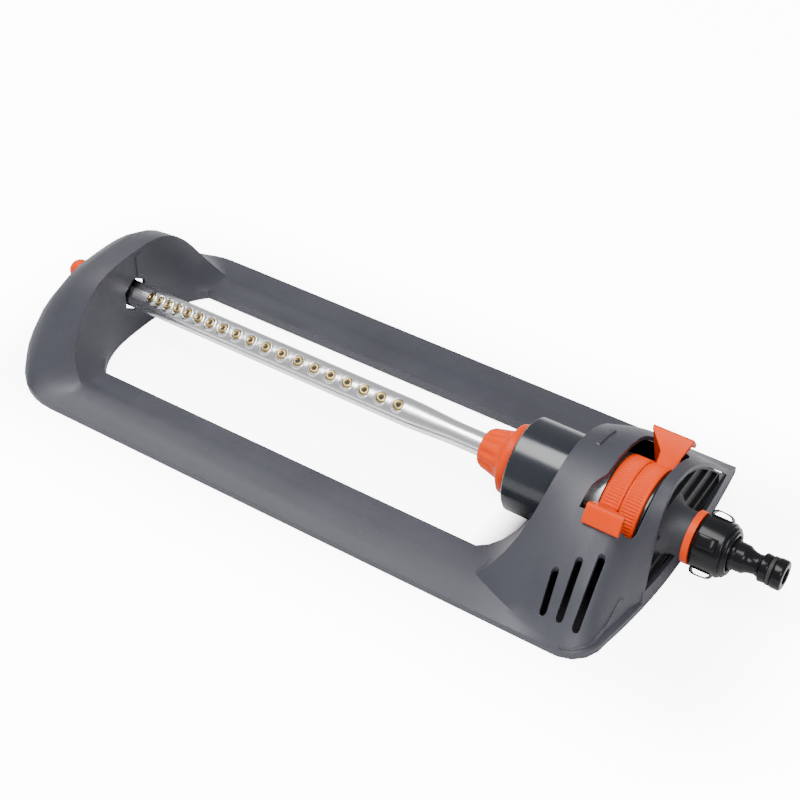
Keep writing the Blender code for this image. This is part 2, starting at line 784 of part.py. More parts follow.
def make_grille(grey):
    margin = WINDOW_MARGIN + SEAT_GAP
    grille = leaning_prism("end_grille", window_outline(margin), -GRILLE_WALL, -GRILLE_RECESS, grey)
    hollow = window_outline(margin + GRILLE_RIM)
    edges = [hollow[0][1]]
    for slat_z in SLATS_Z:
        edges += [slat_z - SLAT_WALL / 2, slat_z + SLAT_WALL / 2]
    edges.append(HOOD_Z)
    for number, (low, high) in enumerate(zip(edges[::2], edges[1::2]), 1):
        gap = between(hollow, low, high)
        back = GRILLE_BACK - GRILLE_WALL
        cut(grille, leaning_prism(f"louvre gap block {number}", gap, back, GRILLE_WALL, grey))
    left = wall_x(0, AXIS_Z) - GRILLE_WALL
    around = SPIGOT_RADIUS + SEAT_GAP
    boss_end = INLET_RING_X - SEAT_GAP
    boss = [(left + GRILLE_BACK / 2, 0)]
    for share in (0, 0.1, 0.3, 0.6, 1):
        flare = BOSS_FLARE * (1 - share) ** 2
        boss.append((left + GRILLE_BACK / 2 + BOSS_FLARE_LENGTH * share, around + GRILLE_BOSS_WALL + flare))
    boss += [(boss_end, around + GRILLE_BOSS_WALL), (boss_end, 0)]
    cut(grille, turned("grille boss block", boss, grey), "UNION")
    bore = disc_outline(left - SHELL, INLET_RING_X, around)
    cut(grille, turned("grille bore block", bore, grey))


# Motor casing and drive


def make_casing(dark, silver, black):
    hole = HUB_RADIUS + RUN_GAP
    inner = MOTOR_RADIUS - MOTOR_WALL
    outline = [
        (MOTOR_X, hole),
        (MOTOR_X, MOTOR_RADIUS - MOTOR_CHAMFER),
        (MOTOR_X + MOTOR_CHAMFER, MOTOR_RADIUS),
        (MOTOR_END_X, MOTOR_RADIUS),
        (MOTOR_END_X, inner),
        (MOTOR_X + MOTOR_WALL, inner),
        (MOTOR_X + MOTOR_WALL, hole),
    ]
    casing = turned("motor_housing", outline, dark, 40)
    for side in (-1, 1):
        lug = capsule((EAR_X, side * (MOTOR_RADIUS - 1 * MM)), (EAR_X, side * EAR_Y), 2 * EAR_RADIUS)
        helper = prism(f"ear block {side}", lug, EAR_Z - EAR_WALL, EAR_Z, dark)
        trim = disc_outline(EAR_X - 2 * EAR_RADIUS, EAR_X + 2 * EAR_RADIUS, inner + SEAT_GAP)
        cut(helper, turned(f"ear trim block {side}", trim, dark))
        cut(casing, helper, "UNION")
        place = [(EAR_X, side * EAR_Y)]
        low = EAR_Z - 2 * EAR_WALL - AXIS_Z
        drill(casing, place, SCREW_RADIUS + SEAT_GAP + side * 0.01 * MM, low, EAR_WALL, dark, "Z")

    cover_x = MOTOR_END_X + SEAT_GAP
    band_end = cover_x + BAND_WIDTH
    neck_inner = NECK_RADIUS - NECK_WALL
    cover = [
        (cover_x, BAND_SEAT - MOTOR_WALL),
        (cover_x, BAND_SEAT),
        (band_end, BAND_SEAT),
        (band_end, NECK_RADIUS),
        (NECK_END_X, NECK_RADIUS),
        (NECK_END_X, SPIGOT_RADIUS),
        (SPIGOT_END_X, SPIGOT_RADIUS),
        (SPIGOT_END_X, SPIGOT_BORE),
        (NECK_END_X - NECK_WALL, SPIGOT_BORE),
        (NECK_END_X - NECK_WALL, neck_inner),
        (band_end - NECK_WALL, neck_inner),
        (band_end - NECK_WALL, BAND_SEAT - MOTOR_WALL),
    ]
    turned("motor_cover", cover, dark)
    inside = BAND_SEAT + SEAT_GAP
    turned("dial_band", tube_outline(cover_x, band_end, inside + BAND_WALL, inside), silver)
    seal_x = MOTOR_X + MOTOR_WALL + SEAT_GAP
    seal = tube_outline(seal_x, seal_x + 1.8 * MM, HUB_RADIUS + 3 * MM, HUB_RADIUS + SEAT_GAP)
    turned("output_seal", seal, black, COARSE)


def make_drive(white, brass, steel):
    inner = MOTOR_RADIUS - MOTOR_WALL - SEAT_GAP
    gear_end = GEAR_X + GEAR_WIDTH
    circle_radius = MODULE * (SUN_TEETH + PLANET_TEETH) / 2
    holed_prism("ring_gear", gear_edge(RING_TEETH, True), inner, GEAR_X, gear_end, white)
    carrier = [
        (HUB_LEFT_X, HUB_BORE),
        (HUB_LEFT_X, HUB_RADIUS),
        (CARRIER_X, HUB_RADIUS),
        (CARRIER_X, CARRIER_RADIUS),
        (CARRIER_X + CARRIER_WALL, CARRIER_RADIUS),
        (CARRIER_X + CARRIER_WALL, HUB_BORE),
    ]
    carrier = turned("output_carrier", carrier, white, 24)
    places = circle(circle_radius, PLANETS)
    pin_left = CARRIER_X + CARRIER_WALL / 2
    drill(carrier, places, PLANET_PIN, pin_left, gear_end + SEAT_GAP, white, "X", 8, "UNION")
    half_tooth = math.pi / PLANET_TEETH
    for number, (y, z) in enumerate(places, 1):
        edge = gear_edge(PLANET_TEETH, False, half_tooth)
        place = (0, y, AXIS_Z + z)
        bore = PLANET_PIN + SEAT_GAP
        holed_prism(f"planet_gear_{number}", edge, bore, GEAR_X, gear_end, white, place)

    turbine = prism("turbine", gear_edge(SUN_TEETH), GEAR_X, gear_end, brass, "X", (0, 0, AXIS_Z))
    shaft = disc_outline(GEAR_X - SEAT_GAP, SHAFT_END_X, SHAFT_RADIUS)
    cut(turbine, turned("turbine shaft block", shaft, brass, 12), "UNION")
    star = []
    for blade in range(ROTOR_BLADES):
        middle = math.tau * blade / ROTOR_BLADES
        root = BLADE_WALL / 2 / ROTOR_HUB
        tip = BLADE_WALL / 2 / ROTOR_RADIUS
        for side in (-1, 1):
            edge = ((side * root, ROTOR_HUB), (side * tip, ROTOR_RADIUS))
            for turn, radius in edge[::-side]:
                star.append((radius * math.cos(middle + turn), radius * math.sin(middle + turn)))
    rotor = prism("rotor block", star, ROTOR_X, ROTOR_X + ROTOR_WIDTH, brass, "X", (0, 0, AXIS_Z))
    cut(turbine, rotor, "UNION")

    flow = circle(FLOW_CIRCLE, 4, (0, 0), math.pi / 4)
    shaft_hole = SHAFT_RADIUS + RUN_GAP
    for name, left in (("gear_plate", GEAR_PLATE_X), ("jet_plate", JET_PLATE_X)):
        outline = tube_outline(left, left + PLATE_WALL, inner, shaft_hole)
        plate = turned(name, outline, white, 24)
        drill(plate, flow, FLOW_HOLE, left - PLATE_WALL, left + 2 * PLATE_WALL, white, "X", 8)

    lever_edge = capsule((0, 0), (-LEVER_LENGTH, 0), LEVER_WIDTH)
    place = (0, LEVER_Y, AXIS_Z)
    lever = prism("reversing_lever", lever_edge, LEVER_X, LEVER_X + LEVER_WALL, white, "X", place)
    drill(lever, [(0, 0)], LEVER_PIN + RUN_GAP, LEVER_X - LEVER_WALL, LEVER_X + 2 * LEVER_WALL, white)
    pin_left = JET_PLATE_X + PLATE_WALL + SEAT_GAP
    head_left = LEVER_X + LEVER_WALL + RUN_GAP
    pin = [
        (pin_left, 0),
        (pin_left, LEVER_PIN),
        (head_left, LEVER_PIN),
        (head_left, 2 * LEVER_PIN),
        (head_left + LEVER_PIN, 2 * LEVER_PIN),
        (head_left + LEVER_PIN, 0),
    ]
    turned("lever_pin", pin, steel, 16, place)


def make_rings(orange, dark):
    """Two knurled dial rings on the cover's neck, each with one hooked finger wing."""
    rings = (("range_ring_left", 0, -1, 1), ("range_ring_right", 1, 1, -1))
    for name, place, side, spread in rings:
        left = RING_LEFT_X + place * (RING_WIDTH + SEAT_GAP)
        right = left + RING_WIDTH
        knurl = []
        for rib in range(2 * RING_RIBS):
            turn = math.pi * rib / RING_RIBS
            radius = RING_RADII[place] - RIB_DEPTH * (rib % 2)
            knurl.append((radius * math.cos(turn), radius * math.sin(turn)))
        ring = holed_prism(name, knurl, NECK_RADIUS + RUN_GAP, left, right, orange)
        wing = wing_mesh(name, place, left, right)
        cut(ring, add_object(f"{name} wing block", wing, orange, (0, 0, AXIS_Z)), "UNION")
    outline = tube_outline(
        KEEPER_X,
        KEEPER_X + KEEPER_LENGTH,
        NECK_RADIUS + SEAT_GAP + KEEPER_WALL,
        NECK_RADIUS + SEAT_GAP,
    )
    turned("ring_keeper", outline, dark)


def wing_mesh(name, place, left, right):
    """A finger wing: a flared plate that stands out from the ring and hooks over at its tip."""
    angle = math.radians(WING_ANGLES[place])
    hook = math.copysign(math.radians(WING_HOOK), angle)
    foot = RING_RADII[place] - 3 * MM
    profile = [(foot, 0), (WING_FLARE_RADIUS, 0), (WING_RADIUS - WING_WALL / 2, 0)]
    profile += [(WING_RADIUS, hook * share) for share in (0.18, 0.45, 0.75, 1)]
    inner = WING_RADIUS - WING_WALL
    profile += [(inner, hook), (inner, hook * 0.72), (inner, hook * 0.45)]
    profile += [(WING_FLARE_RADIUS, hook * 0.36), (foot, hook * 0.4)]
    shape = bmesh.new()
    sides = ([], [])
    for radius, offset in profile:
        flare = min(max((radius - WING_FLARE_RADIUS) / (inner - WING_FLARE_RADIUS), 0), 1)
        turn = angle + offset
        y = -radius * math.sin(turn)
        z = radius * math.cos(turn)
        if place == 0:
            ends = (left, blend(right, left + WING_SPREAD, flare))
        else:
            ends = (blend(left, right - WING_SPREAD, flare), right + 3 * MM * flare)
        for row, x in zip(sides, ends):
            row.append(shape.verts.new((x, y, z)))
    shape.faces.new(sides[0])
    shape.faces.new(sides[1])
    count = len(profile)
    for point in range(count):
        after = (point + 1) % count
        shape.faces.new((sides[0][point], sides[0][after], sides[1][after], sides[1][point]))
    return mesh_of(name, shape)


# Sleeve, spray tube and end plug


def nozzle_places():
    """X of each nozzle: the pitch grows over the first part of the row, then stays."""
    x = FIRST_NOZZLE_X
    places = []
    for number in range(NOZZLES):
        places.append(x)
        x += blend(PITCH_FIRST, PITCH_LAST, min(number / PITCH_GROWTH, 1))
    return places


def make_tube(silver, orange, brass, black):
    tube = turned(
        "spray_tube",
        tube_outline(TUBE_LEFT_X, TUBE_RIGHT_X, TUBE_RADIUS, TUBE_RADIUS - TUBE_WALL),
        silver,
        24,
    )
    clear = SEAT_GAP + NOZZLE_RADIUS
    for number, x in enumerate(nozzle_places(), 1):
        tilt = math.radians(FAN_PER_METRE * (x - FAN_MIDDLE_X))
        turn = Matrix.Rotation(math.radians(ROW_TILT), 4, "X") @ Matrix.Rotation(tilt, 4, "Y")
        base = Vector((x, 0, AXIS_Z)) + Matrix.Rotation(math.radians(ROW_TILT), 3, "X") @ Vector(
            (0, 0, TUBE_RADIUS)
        )
        outline = [
            (-NOZZLE_DEPTH, NOZZLE_BORE),
            (-NOZZLE_DEPTH, NOZZLE_COLLAR),
            (NOZZLE_COLLAR_WALL - NOZZLE_DEPTH, NOZZLE_COLLAR),
            (NOZZLE_COLLAR_WALL - NOZZLE_DEPTH, NOZZLE_RADIUS),
            (NOZZLE_STAND, NOZZLE_RADIUS),
            (NOZZLE_STAND, NOZZLE_BORE),
        ]
        nozzle = turned(f"nozzle_{number:02d}", outline, brass, 8, (0, 0, 0), "Z")
        nozzle.data.transform(Matrix.Translation(base - Vector((0, 0, AXIS_Z))) @ turn)
        nozzle.location = (0, 0, AXIS_Z)
        hole = disc_outline(-2.8 * TUBE_WALL, 2 * NOZZLE_STAND, clear)
        helper = turned(f"nozzle hole block {number}", hole, silver, 8, (0, 0, 0), "Z")
        helper.data.transform(Matrix.Translation(base) @ turn)
        cut(tube, helper)

    def flutes(along, radius, angle):
        if radius < SLEEVE_TIP or along > FLANGE_X - 1 * MM or along < SLEEVE_LEFT_X + 1 * MM:
            return radius
        return radius - FLUTE_DEPTH * (1 + math.cos(FLUTES * angle)) / 2

    tube_seat = TUBE_RADIUS + SEAT_GAP
    hub_seat = HUB_RADIUS + SEAT_GAP
    cone = 1.5 * MM
    outline = [
        (SLEEVE_LEFT_X, tube_seat),
        (SLEEVE_LEFT_X, SLEEVE_TIP - cone),
        (SLEEVE_LEFT_X + cone, SLEEVE_TIP),
        (FLANGE_X - 2 * cone, SLEEVE_ROOT),
        (FLANGE_X, SLEEVE_ROOT + 0.6 * MM),
        (FLANGE_X, FLANGE_RADIUS - cone / 2),
        (FLANGE_X + cone / 2, FLANGE_RADIUS),
        (FLANGE_X + FLANGE_WALL, FLANGE_RADIUS),
        (FLANGE_X + FLANGE_WALL, hub_seat),
        (HUB_LEFT_X, hub_seat),
        (HUB_LEFT_X, tube_seat),
    ]
    turned("tube_sleeve", outline, orange, 3 * FLUTES, wave=flutes)
    seal = tube_outline(TUBE_RIGHT_X + SEAT_GAP, HUB_LEFT_X - SEAT_GAP, TUBE_RADIUS, HUB_BORE)
    turned("sleeve_seal", seal, black, COARSE)


def make_plug(orange, black, white):
    groove = PLUG_RADIUS - SEAL_SECTION
    seal_end = PLUG_GROOVE_X + 2 * SEAL_SECTION
    outline = []
    quarter = math.asin(PLUG_RADIUS / BALL_RADIUS)
    for step in range(8):
        turn = blend(math.pi, quarter, step / 7)
        outline.append((BALL_X + BALL_RADIUS * math.cos(turn), max(BALL_RADIUS * math.sin(turn), 0)))
    outline[0] = (BALL_X - BALL_RADIUS, 0)
    outline += [
        (PLUG_GROOVE_X - SEAT_GAP, PLUG_RADIUS),
        (PLUG_GROOVE_X - SEAT_GAP, groove),
        (seal_end + SEAT_GAP, groove),
        (seal_end + SEAT_GAP, PLUG_RADIUS),
        (PLUG_RIGHT_X - SEAL_SECTION, PLUG_RADIUS),
        (PLUG_RIGHT_X, PLUG_RADIUS - SEAL_SECTION),
        (PLUG_RIGHT_X, 0),
    ]
    turned("end_plug", outline, orange, COARSE)
    bore = TUBE_RADIUS - TUBE_WALL
    seal = tube_outline(PLUG_GROOVE_X, seal_end, bore - SEAT_GAP, groove + SEAT_GAP)
    turned("end_plug_seal", seal, black, COARSE)
    bush_bore = PLUG_RADIUS + RUN_GAP
    left = BALL_X + BALL_RADIUS + RUN_GAP
    turned("end_bush", tube_outline(left, BOSS_RIGHT_X, bush_bore + BUSH_WALL, bush_bore), white, COARSE)


# Inlet


def make_inlet(orange, black, rubber, steel):
    on_spigot = SPIGOT_RADIUS + SEAT_GAP
    ring_end = INLET_RING_X + INLET_RING_WIDTH
    turned("inlet_ring", tube_outline(INLET_RING_X, ring_end, INLET_RING_RADIUS, on_spigot), orange)

    washer_x = SPIGOT_END_X + SEAT_GAP
    flange_x = washer_x + WASHER_WALL + SEAT_GAP
    mouth_x = flange_x + NIPPLE_FLANGE_WALL + SEAT_GAP
    nut_end = NUT_X + NUT_LENGTH
    washer = tube_outline(washer_x, washer_x + WASHER_WALL, NIPPLE_FLANGE, SPIGOT_BORE - 2 * MM)
    turned("inlet_washer", washer, rubber, COARSE)
    outline = [
        (NUT_X, on_spigot),
        (NUT_X, NUT_RADIUS - 0.6 * MM),
        (NUT_X + 1.2 * MM, NUT_RADIUS),
        (nut_end - 3 * NUT_STEP, NUT_RADIUS),
        (nut_end - 2.4 * NUT_STEP, NUT_RADIUS - NUT_STEP),
        (nut_end - NUT_STEP, NUT_RADIUS - NUT_STEP),
        (nut_end - NUT_STEP, NUT_RADIUS - 2 * NUT_STEP),
        (nut_end, NUT_RADIUS - 2.4 * NUT_STEP),
        (nut_end, NUT_MOUTH),
        (mouth_x, NUT_MOUTH),
        (mouth_x, on_spigot),
    ]
    nut = turned("coupling_nut", outline, black)
    for number in range(NUT_LUGS):
        turn = math.tau * (number + 0.5) / NUT_LUGS
        low = NUT_RADIUS - 1.5 * MM
        top = NUT_RADIUS + LUG_REACH
        half = LUG_WIDTH / 2
        lug = [(-half - 1 * MM, low), (half + 1 * MM, low), (half, top - 1 * MM), (half - 2 * MM, top)]
        lug += [(2 * MM - half, top), (-half, top - 1 * MM)]
        left = NUT_X + 2 * MM
        helper = prism(f"lug block {number}", lug, left, mouth_x - 1.5 * MM, black, "X", (0, 0, AXIS_Z))
        helper.data.transform(Matrix.Rotation(turn, 4, "X"))
        cut(nut, helper, "UNION")

    filter_x = SPIGOT_END_X - FILTER_LENGTH
    outer = SPIGOT_BORE - SEAT_GAP
    outline = [
        (filter_x, 0),
        (filter_x, outer - 2 * FILTER_WALL),
        (SPIGOT_END_X - 2 * FILTER_WALL, outer),
        (SPIGOT_END_X, outer),
        (SPIGOT_END_X, outer - FILTER_WALL),
        (filter_x + FILTER_WALL, outer - 3 * FILTER_WALL),
        (filter_x + FILTER_WALL, 0),
    ]
    turned("inlet_filter", outline, steel, COARSE)

    groove = NIPPLE_TIP - 2 * MM
    groove_end = NIPPLE_GROOVE_X + 2 * MM
    outline = [
        (flange_x, NIPPLE_BORE),
        (flange_x, NIPPLE_FLANGE),
        (flange_x + NIPPLE_FLANGE_WALL, NIPPLE_FLANGE),
        (flange_x + NIPPLE_FLANGE_WALL, NIPPLE_SHANK),
        (NIPPLE_SHANK_END_X, NIPPLE_SHANK),
        (NIPPLE_SHANK_END_X + 2 * MM, NIPPLE_SHANK - 1.2 * MM),
        (NIPPLE_WAIST_X, NIPPLE_WAIST),
        (NIPPLE_COLLAR_X, NIPPLE_WAIST + 0.6 * MM),
        (NIPPLE_COLLAR_X + 0.8 * MM, NIPPLE_COLLAR),
        (NIPPLE_GROOVE_X - SEAT_GAP, NIPPLE_COLLAR - 0.4 * MM),
        (NIPPLE_GROOVE_X - SEAT_GAP, groove),
        (groove_end + SEAT_GAP, groove),
        (groove_end + SEAT_GAP, NIPPLE_TIP - 0.5 * MM),
        (groove_end + 1.2 * MM, NIPPLE_TIP),
        (NIPPLE_END_X - 1 * MM, NIPPLE_TIP),
        (NIPPLE_END_X, NIPPLE_TIP - 0.8 * MM),
        (NIPPLE_END_X, NIPPLE_BORE),
    ]
    turned("hose_nipple", outline, black, 24)
    seal = tube_outline(NIPPLE_GROOVE_X, groove_end, NIPPLE_TIP - 0.3 * MM, groove + SEAT_GAP)
    turned("nipple_seal", seal, rubber, COARSE)


def make_screws(steel):
    """Pan-head screws that hold the motor casing's ears up against the hood's columns."""
    under = EAR_Z - EAR_WALL - SEAT_GAP
    for number, side in enumerate((-1, 1), 1):
        outline = [
            (under - SCREW_HEAD_WALL, 0),
            (under - SCREW_HEAD_WALL, SCREW_HEAD - 0.6 * MM),
            (under - SCREW_HEAD_WALL + 0.6 * MM, SCREW_HEAD),
            (under, SCREW_HEAD),
            (under, SCREW_RADIUS),
            (under + SCREW_LENGTH - 1 * MM, SCREW_RADIUS),
            (under + SCREW_LENGTH, 0),
        ]
        turned(f"motor_screw_{number}", outline, steel, 16, (EAR_X, side * EAR_Y, 0), "Z")


def main():
    clear_scene()
    grey = make_material("frame_grey", (0.077, 0.077, 0.094), 0.5)
    dark = make_material("casing_dark", (0.03, 0.034, 0.042), 0.4)
    black = make_material("coupling_black", (0.014, 0.014, 0.016), 0.32)
    rubber = make_material("seal_rubber", (0.012, 0.012, 0.012), 0.7)
    orange = make_material("dial_orange", (0.9, 0.13, 0.025), 0.38)
    silver = make_material("tube_aluminium", (0.72, 0.73, 0.75), 0.28, 1.0)
    brass = make_material("nozzle_brass", (0.62, 0.42, 0.17), 0.3, 1.0)
    steel = make_material("screw_steel", (0.5, 0.5, 0.5), 0.3, 1.0)
    white = make_material("gear_white", (0.75, 0.74, 0.7), 0.45)
    make_frame(grey)
    make_grille(grey)
    make_casing(dark, silver, rubber)
    make_drive(white, brass, steel)
    make_rings(orange, dark)
    make_tube(silver, orange, brass, rubber)
    make_plug(orange, rubber, white)
    make_inlet(orange, black, rubber, steel)
    make_screws(steel)


main()
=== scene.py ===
# Oscillating garden sprinkler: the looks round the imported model, piece by piece as it is put together.
import math

import bmesh
import bpy
from mathutils import Matrix, Vector
from mathutils.bvhtree import BVHTree


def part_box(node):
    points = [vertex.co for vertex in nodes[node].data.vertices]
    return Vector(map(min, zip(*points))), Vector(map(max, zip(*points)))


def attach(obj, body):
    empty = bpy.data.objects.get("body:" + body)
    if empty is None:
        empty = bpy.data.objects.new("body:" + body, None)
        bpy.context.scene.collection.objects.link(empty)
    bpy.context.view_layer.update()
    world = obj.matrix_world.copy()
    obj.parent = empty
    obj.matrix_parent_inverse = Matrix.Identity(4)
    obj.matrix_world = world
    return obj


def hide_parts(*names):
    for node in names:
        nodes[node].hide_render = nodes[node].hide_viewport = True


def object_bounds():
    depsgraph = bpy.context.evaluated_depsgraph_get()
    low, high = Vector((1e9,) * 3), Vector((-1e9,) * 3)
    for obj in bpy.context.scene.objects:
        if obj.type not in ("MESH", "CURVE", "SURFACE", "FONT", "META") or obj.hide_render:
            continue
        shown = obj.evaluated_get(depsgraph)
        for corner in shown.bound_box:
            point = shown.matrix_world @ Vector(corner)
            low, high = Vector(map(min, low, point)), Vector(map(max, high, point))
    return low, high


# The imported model. X runs along the spray tube from the end plug to the hose nipple, the front
# rail lies towards -Y and the lawn is at z = 0. All pieces below take their places from it.
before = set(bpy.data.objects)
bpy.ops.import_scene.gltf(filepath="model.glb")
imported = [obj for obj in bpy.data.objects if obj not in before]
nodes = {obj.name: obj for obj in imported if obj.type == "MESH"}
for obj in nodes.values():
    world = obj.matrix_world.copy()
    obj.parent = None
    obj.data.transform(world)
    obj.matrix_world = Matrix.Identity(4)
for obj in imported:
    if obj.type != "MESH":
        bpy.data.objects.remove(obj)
cad_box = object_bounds()
MM = 0.001
AXIS_Z = sum(corner.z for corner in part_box("spray_tube")) / 2
frame_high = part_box("frame")[1]


# Studio. A white sweep under three soft boxes, with the camera where the photographer stood, a
# little over half a metre above and in front of the hood. The sweep glows white to the camera, with
# painted shade round the sprinkler, and is painted black under the hood, a painted shadow where little light
# gets in.
FLOOR_HALF = 4
FLOOR_DROP = 0.2 * MM
SWEEP_COLOUR = (0.93, 0.93, 0.94)
SWEEP_FIBRE = 0.985
SWEEP_GLOW = 12.0
PAPER_SCALE = 3.0
COOL_WHITE = (0.97, 0.98, 1, 1)
SHADE_REACH = 0.1
SHADE_DEEPEST = 0.62
SHADE_INSET = 30 * MM
HOOD_PAINTED_SHADOW = (0.004, 0.004, 0.004)
HOOD_END_BOW = 1.28
HOOD_CORNER_Y = 80 * MM
HOOD_CORNER_CUT = 0.8
DARK_FADE = 10 * MM
DARK_FULL = 2.5 * MM
DARK_END = 1 * MM
SKY_STRENGTH = 0.6
CAMERA_PLACE = (0.4088, -0.6015, 0.6519)
CAMERA_TILT = math.radians(49.62)
CAMERA_TURN = math.radians(33.72)
LENS = 72.9
SENSOR = 36


def add_node(tree, kind, values=None, **settings):
    """Puts one shader node in a tree; a value may be a number, a colour or another node's socket."""
    made = tree.nodes.new("ShaderNode" + kind)
    for name, value in settings.items():
        setattr(made, name, value)
    for name, value in (values or {}).items():
        if isinstance(value, bpy.types.NodeSocket):
            tree.links.new(value, made.inputs[name])
        else:
            made.inputs[name].default_value = value
    return made


def reckon(tree, operation, *values):
    """Puts a Math node in a tree and gives the socket with what it works out."""
    return add_node(tree, "Math", dict(enumerate(values)), operation=operation).outputs[0]


def mix_colours(tree, share, first, second):
    """Mixes two colours, each given as a socket or as red, green and blue."""
    mix = tree.nodes.new("ShaderNodeMix")
    mix.data_type = "RGBA"
    for socket, value in ((0, share), (6, first), (7, second)):
        if isinstance(value, bpy.types.NodeSocket):
            tree.links.new(value, mix.inputs[socket])
        else:
            mix.inputs[socket].default_value = (*value, 1)
    return mix.outputs[2]


def spread(tree, source, low, high, to_low=0.0, to_high=1.0):
    """Stretches a value between two limits onto another range."""
    limits = {"From Min": low, "From Max": high, "To Min": to_low, "To Max": to_high}
    return add_node(tree, "MapRange", {"Value": source, **limits}).outputs["Result"]


def new_material(name):
    made = bpy.data.materials.new(name)
    made.use_nodes = True
    return made, made.node_tree, made.node_tree.nodes["Principled BSDF"]


def join(tree, source, shader, socket):
    tree.links.new(source, shader.inputs[socket])


def link(thing):
    bpy.context.scene.collection.objects.link(thing)
    return thing


def soft_box(name, place, aim, size, power):
    lamp = bpy.data.lights.new(name, "AREA")
    lamp.shape = "RECTANGLE"
    lamp.size, lamp.size_y = size
    lamp.energy = power
    made = link(bpy.data.objects.new(name, lamp))
    made.location = place
    made.rotation_euler = (Vector(aim) - Vector(place)).to_track_quat("-Z", "Y").to_euler()


floor_shape = bmesh.new()
bmesh.ops.create_grid(floor_shape, x_segments=8, y_segments=8, size=FLOOR_HALF)
floor_mesh = bpy.data.meshes.new("sweep")
floor_shape.to_mesh(floor_mesh)
floor_shape.free()
sweep = link(bpy.data.objects.new("sweep", floor_mesh))
sweep.location.z = -FLOOR_DROP
sweep_paper, tree, shader = new_material("sweep_paper")
place = add_node(tree, "TexCoord").outputs["Object"]
paper = add_node(tree, "TexNoise", {"Vector": place, "Scale": PAPER_SCALE, "Detail": 2.0}).outputs["Fac"]
spot = add_node(tree, "SeparateXYZ", {0: place}).outputs

# Painted shade: the floor's glow to the camera grows lighter with the distance from the sprinkler's box,
# drawn in a little.
apart = []
for axis, low, high in zip("XY", cad_box[0], cad_box[1]):
    middle = reckon(tree, "SUBTRACT", spot[axis], (low + high) / 2)
    outside = reckon(tree, "SUBTRACT", reckon(tree, "ABSOLUTE", middle), (high - low) / 2 - SHADE_INSET)
    apart.append(reckon(tree, "MAXIMUM", outside, 0.0))
away = add_node(tree, "CombineXYZ", {"X": apart[0], "Y": apart[1]}).outputs[0]
away = add_node(tree, "VectorMath", {0: away}, operation="LENGTH").outputs["Value"]
shade_limits = {"Value": away, "From Max": SHADE_REACH, "To Min": SHADE_DEEPEST}
painted_shade_share = add_node(tree, "MapRange", shade_limits, interpolation_type="SMOOTHSTEP").outputs["Result"]

# Painted shadow under the hood: from the motor to the hood's bowed end, whose corners are cut, and to the
# rails.
hood_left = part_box("motor_housing")[0].x
square = reckon(tree, "MULTIPLY", spot["Y"], spot["Y"])
bowed = reckon(tree, "MULTIPLY_ADD", square, HOOD_END_BOW, spot["X"])
across = reckon(tree, "ABSOLUTE", spot["Y"])
corner = reckon(tree, "SUBTRACT", across, HOOD_CORNER_Y)
corner = reckon(tree, "MAXIMUM", corner, 0.0)
bowed = reckon(tree, "MULTIPLY_ADD", corner, HOOD_CORNER_CUT, bowed)
under_hood_shade_mask = spread(tree, spot["X"], hood_left - DARK_FADE, hood_left + DARK_FADE)
for measure, rim in ((bowed, frame_high.x), (across, frame_high.y)):
    edge = spread(tree, measure, rim - DARK_FULL, rim - DARK_END, 1.0, 0.0)
    under_hood_shade_mask = reckon(tree, "MULTIPLY", under_hood_shade_mask, edge)

# Under the hood the floor's colour is painted near black as painted shadow, and its glow is cut there below.
tone = mix_colours(tree, paper, SWEEP_COLOUR, [value * SWEEP_FIBRE for value in SWEEP_COLOUR])
join(tree, mix_colours(tree, under_hood_shade_mask, tone, HOOD_PAINTED_SHADOW), shader, "Base Color")
join(tree, spread(tree, paper, 0.3, 0.7, 0.55, 0.65), shader, "Roughness")
outside_hood_shadow = reckon(tree, "SUBTRACT", 1.0, under_hood_shade_mask)
# The sweep's glow to the camera, lowered by the painted shade round the sprinkler and cut by the painted
# shadow under the hood.
glow = add_node(tree, "LightPath").outputs["Is Camera Ray"]
for share in (painted_shade_share, outside_hood_shadow, SWEEP_GLOW):
    glow = reckon(tree, "MULTIPLY", glow, share)
shader.inputs["Emission Color"].default_value = COOL_WHITE
join(tree, glow, shader, "Emission Strength")
floor_mesh.materials.append(sweep_paper)

soft_box("box_over", place=(-0.3, -0.3, 1.6), aim=(0, 0, 0), size=(1.1, 0.8), power=40)
soft_box("box_front", place=(0.8, -0.8, 1.0), aim=(0.1, 0, 0), size=(0.6, 0.5), power=11)
soft_box("box_back", place=(-1.1, 0.3, 0.9), aim=(-0.2, 0, 0), size=(0.6, 0.5), power=4)

sky = bpy.data.worlds.new("studio")
sky.use_nodes = True
sky.node_tree.nodes["Background"].inputs["Color"].default_value = COOL_WHITE
sky.node_tree.nodes["Background"].inputs["Strength"].default_value = SKY_STRENGTH
bpy.context.scene.world = sky

lens = bpy.data.cameras.new("camera")
lens.lens = LENS
lens.sensor_width = SENSOR
camera = link(bpy.data.objects.new("camera", lens))
camera.location = CAMERA_PLACE
camera.rotation_euler = (CAMERA_TILT, 0, CAMERA_TURN)
bpy.context.scene.camera = camera


# Frame. One moulding of grey filled plastic, drawn from the tool with a fine spark-eroded grain.
# It carries a raised line round the hood's front corner, a rib over the arch's hole and a pad on
# the hood's top.
FRAME_GREY = (0.026, 0.027, 0.036)
FRAME_PALE = (0.034, 0.035, 0.046)
DRIFT_SCALE = 22.0
DUST_TONE = (0.3, 0.3, 0.32)
DUST_DRIFTS = 35.0
DUST_SPECKS = 420.0
SPECK_SIZE = 0.16
SCUFF_BENDS = 14.0
SCUFF_PATCHES = 30.0
SCUFF_WIDTH = 0.012
SCUFF_PALER = 1.8
SCUFF_LIFT = 0.02
SCUFF_ROUGHER = 0.2
KNIT_REACH = 0.01 * MM
EDGE_ANGLE = math.radians(28)


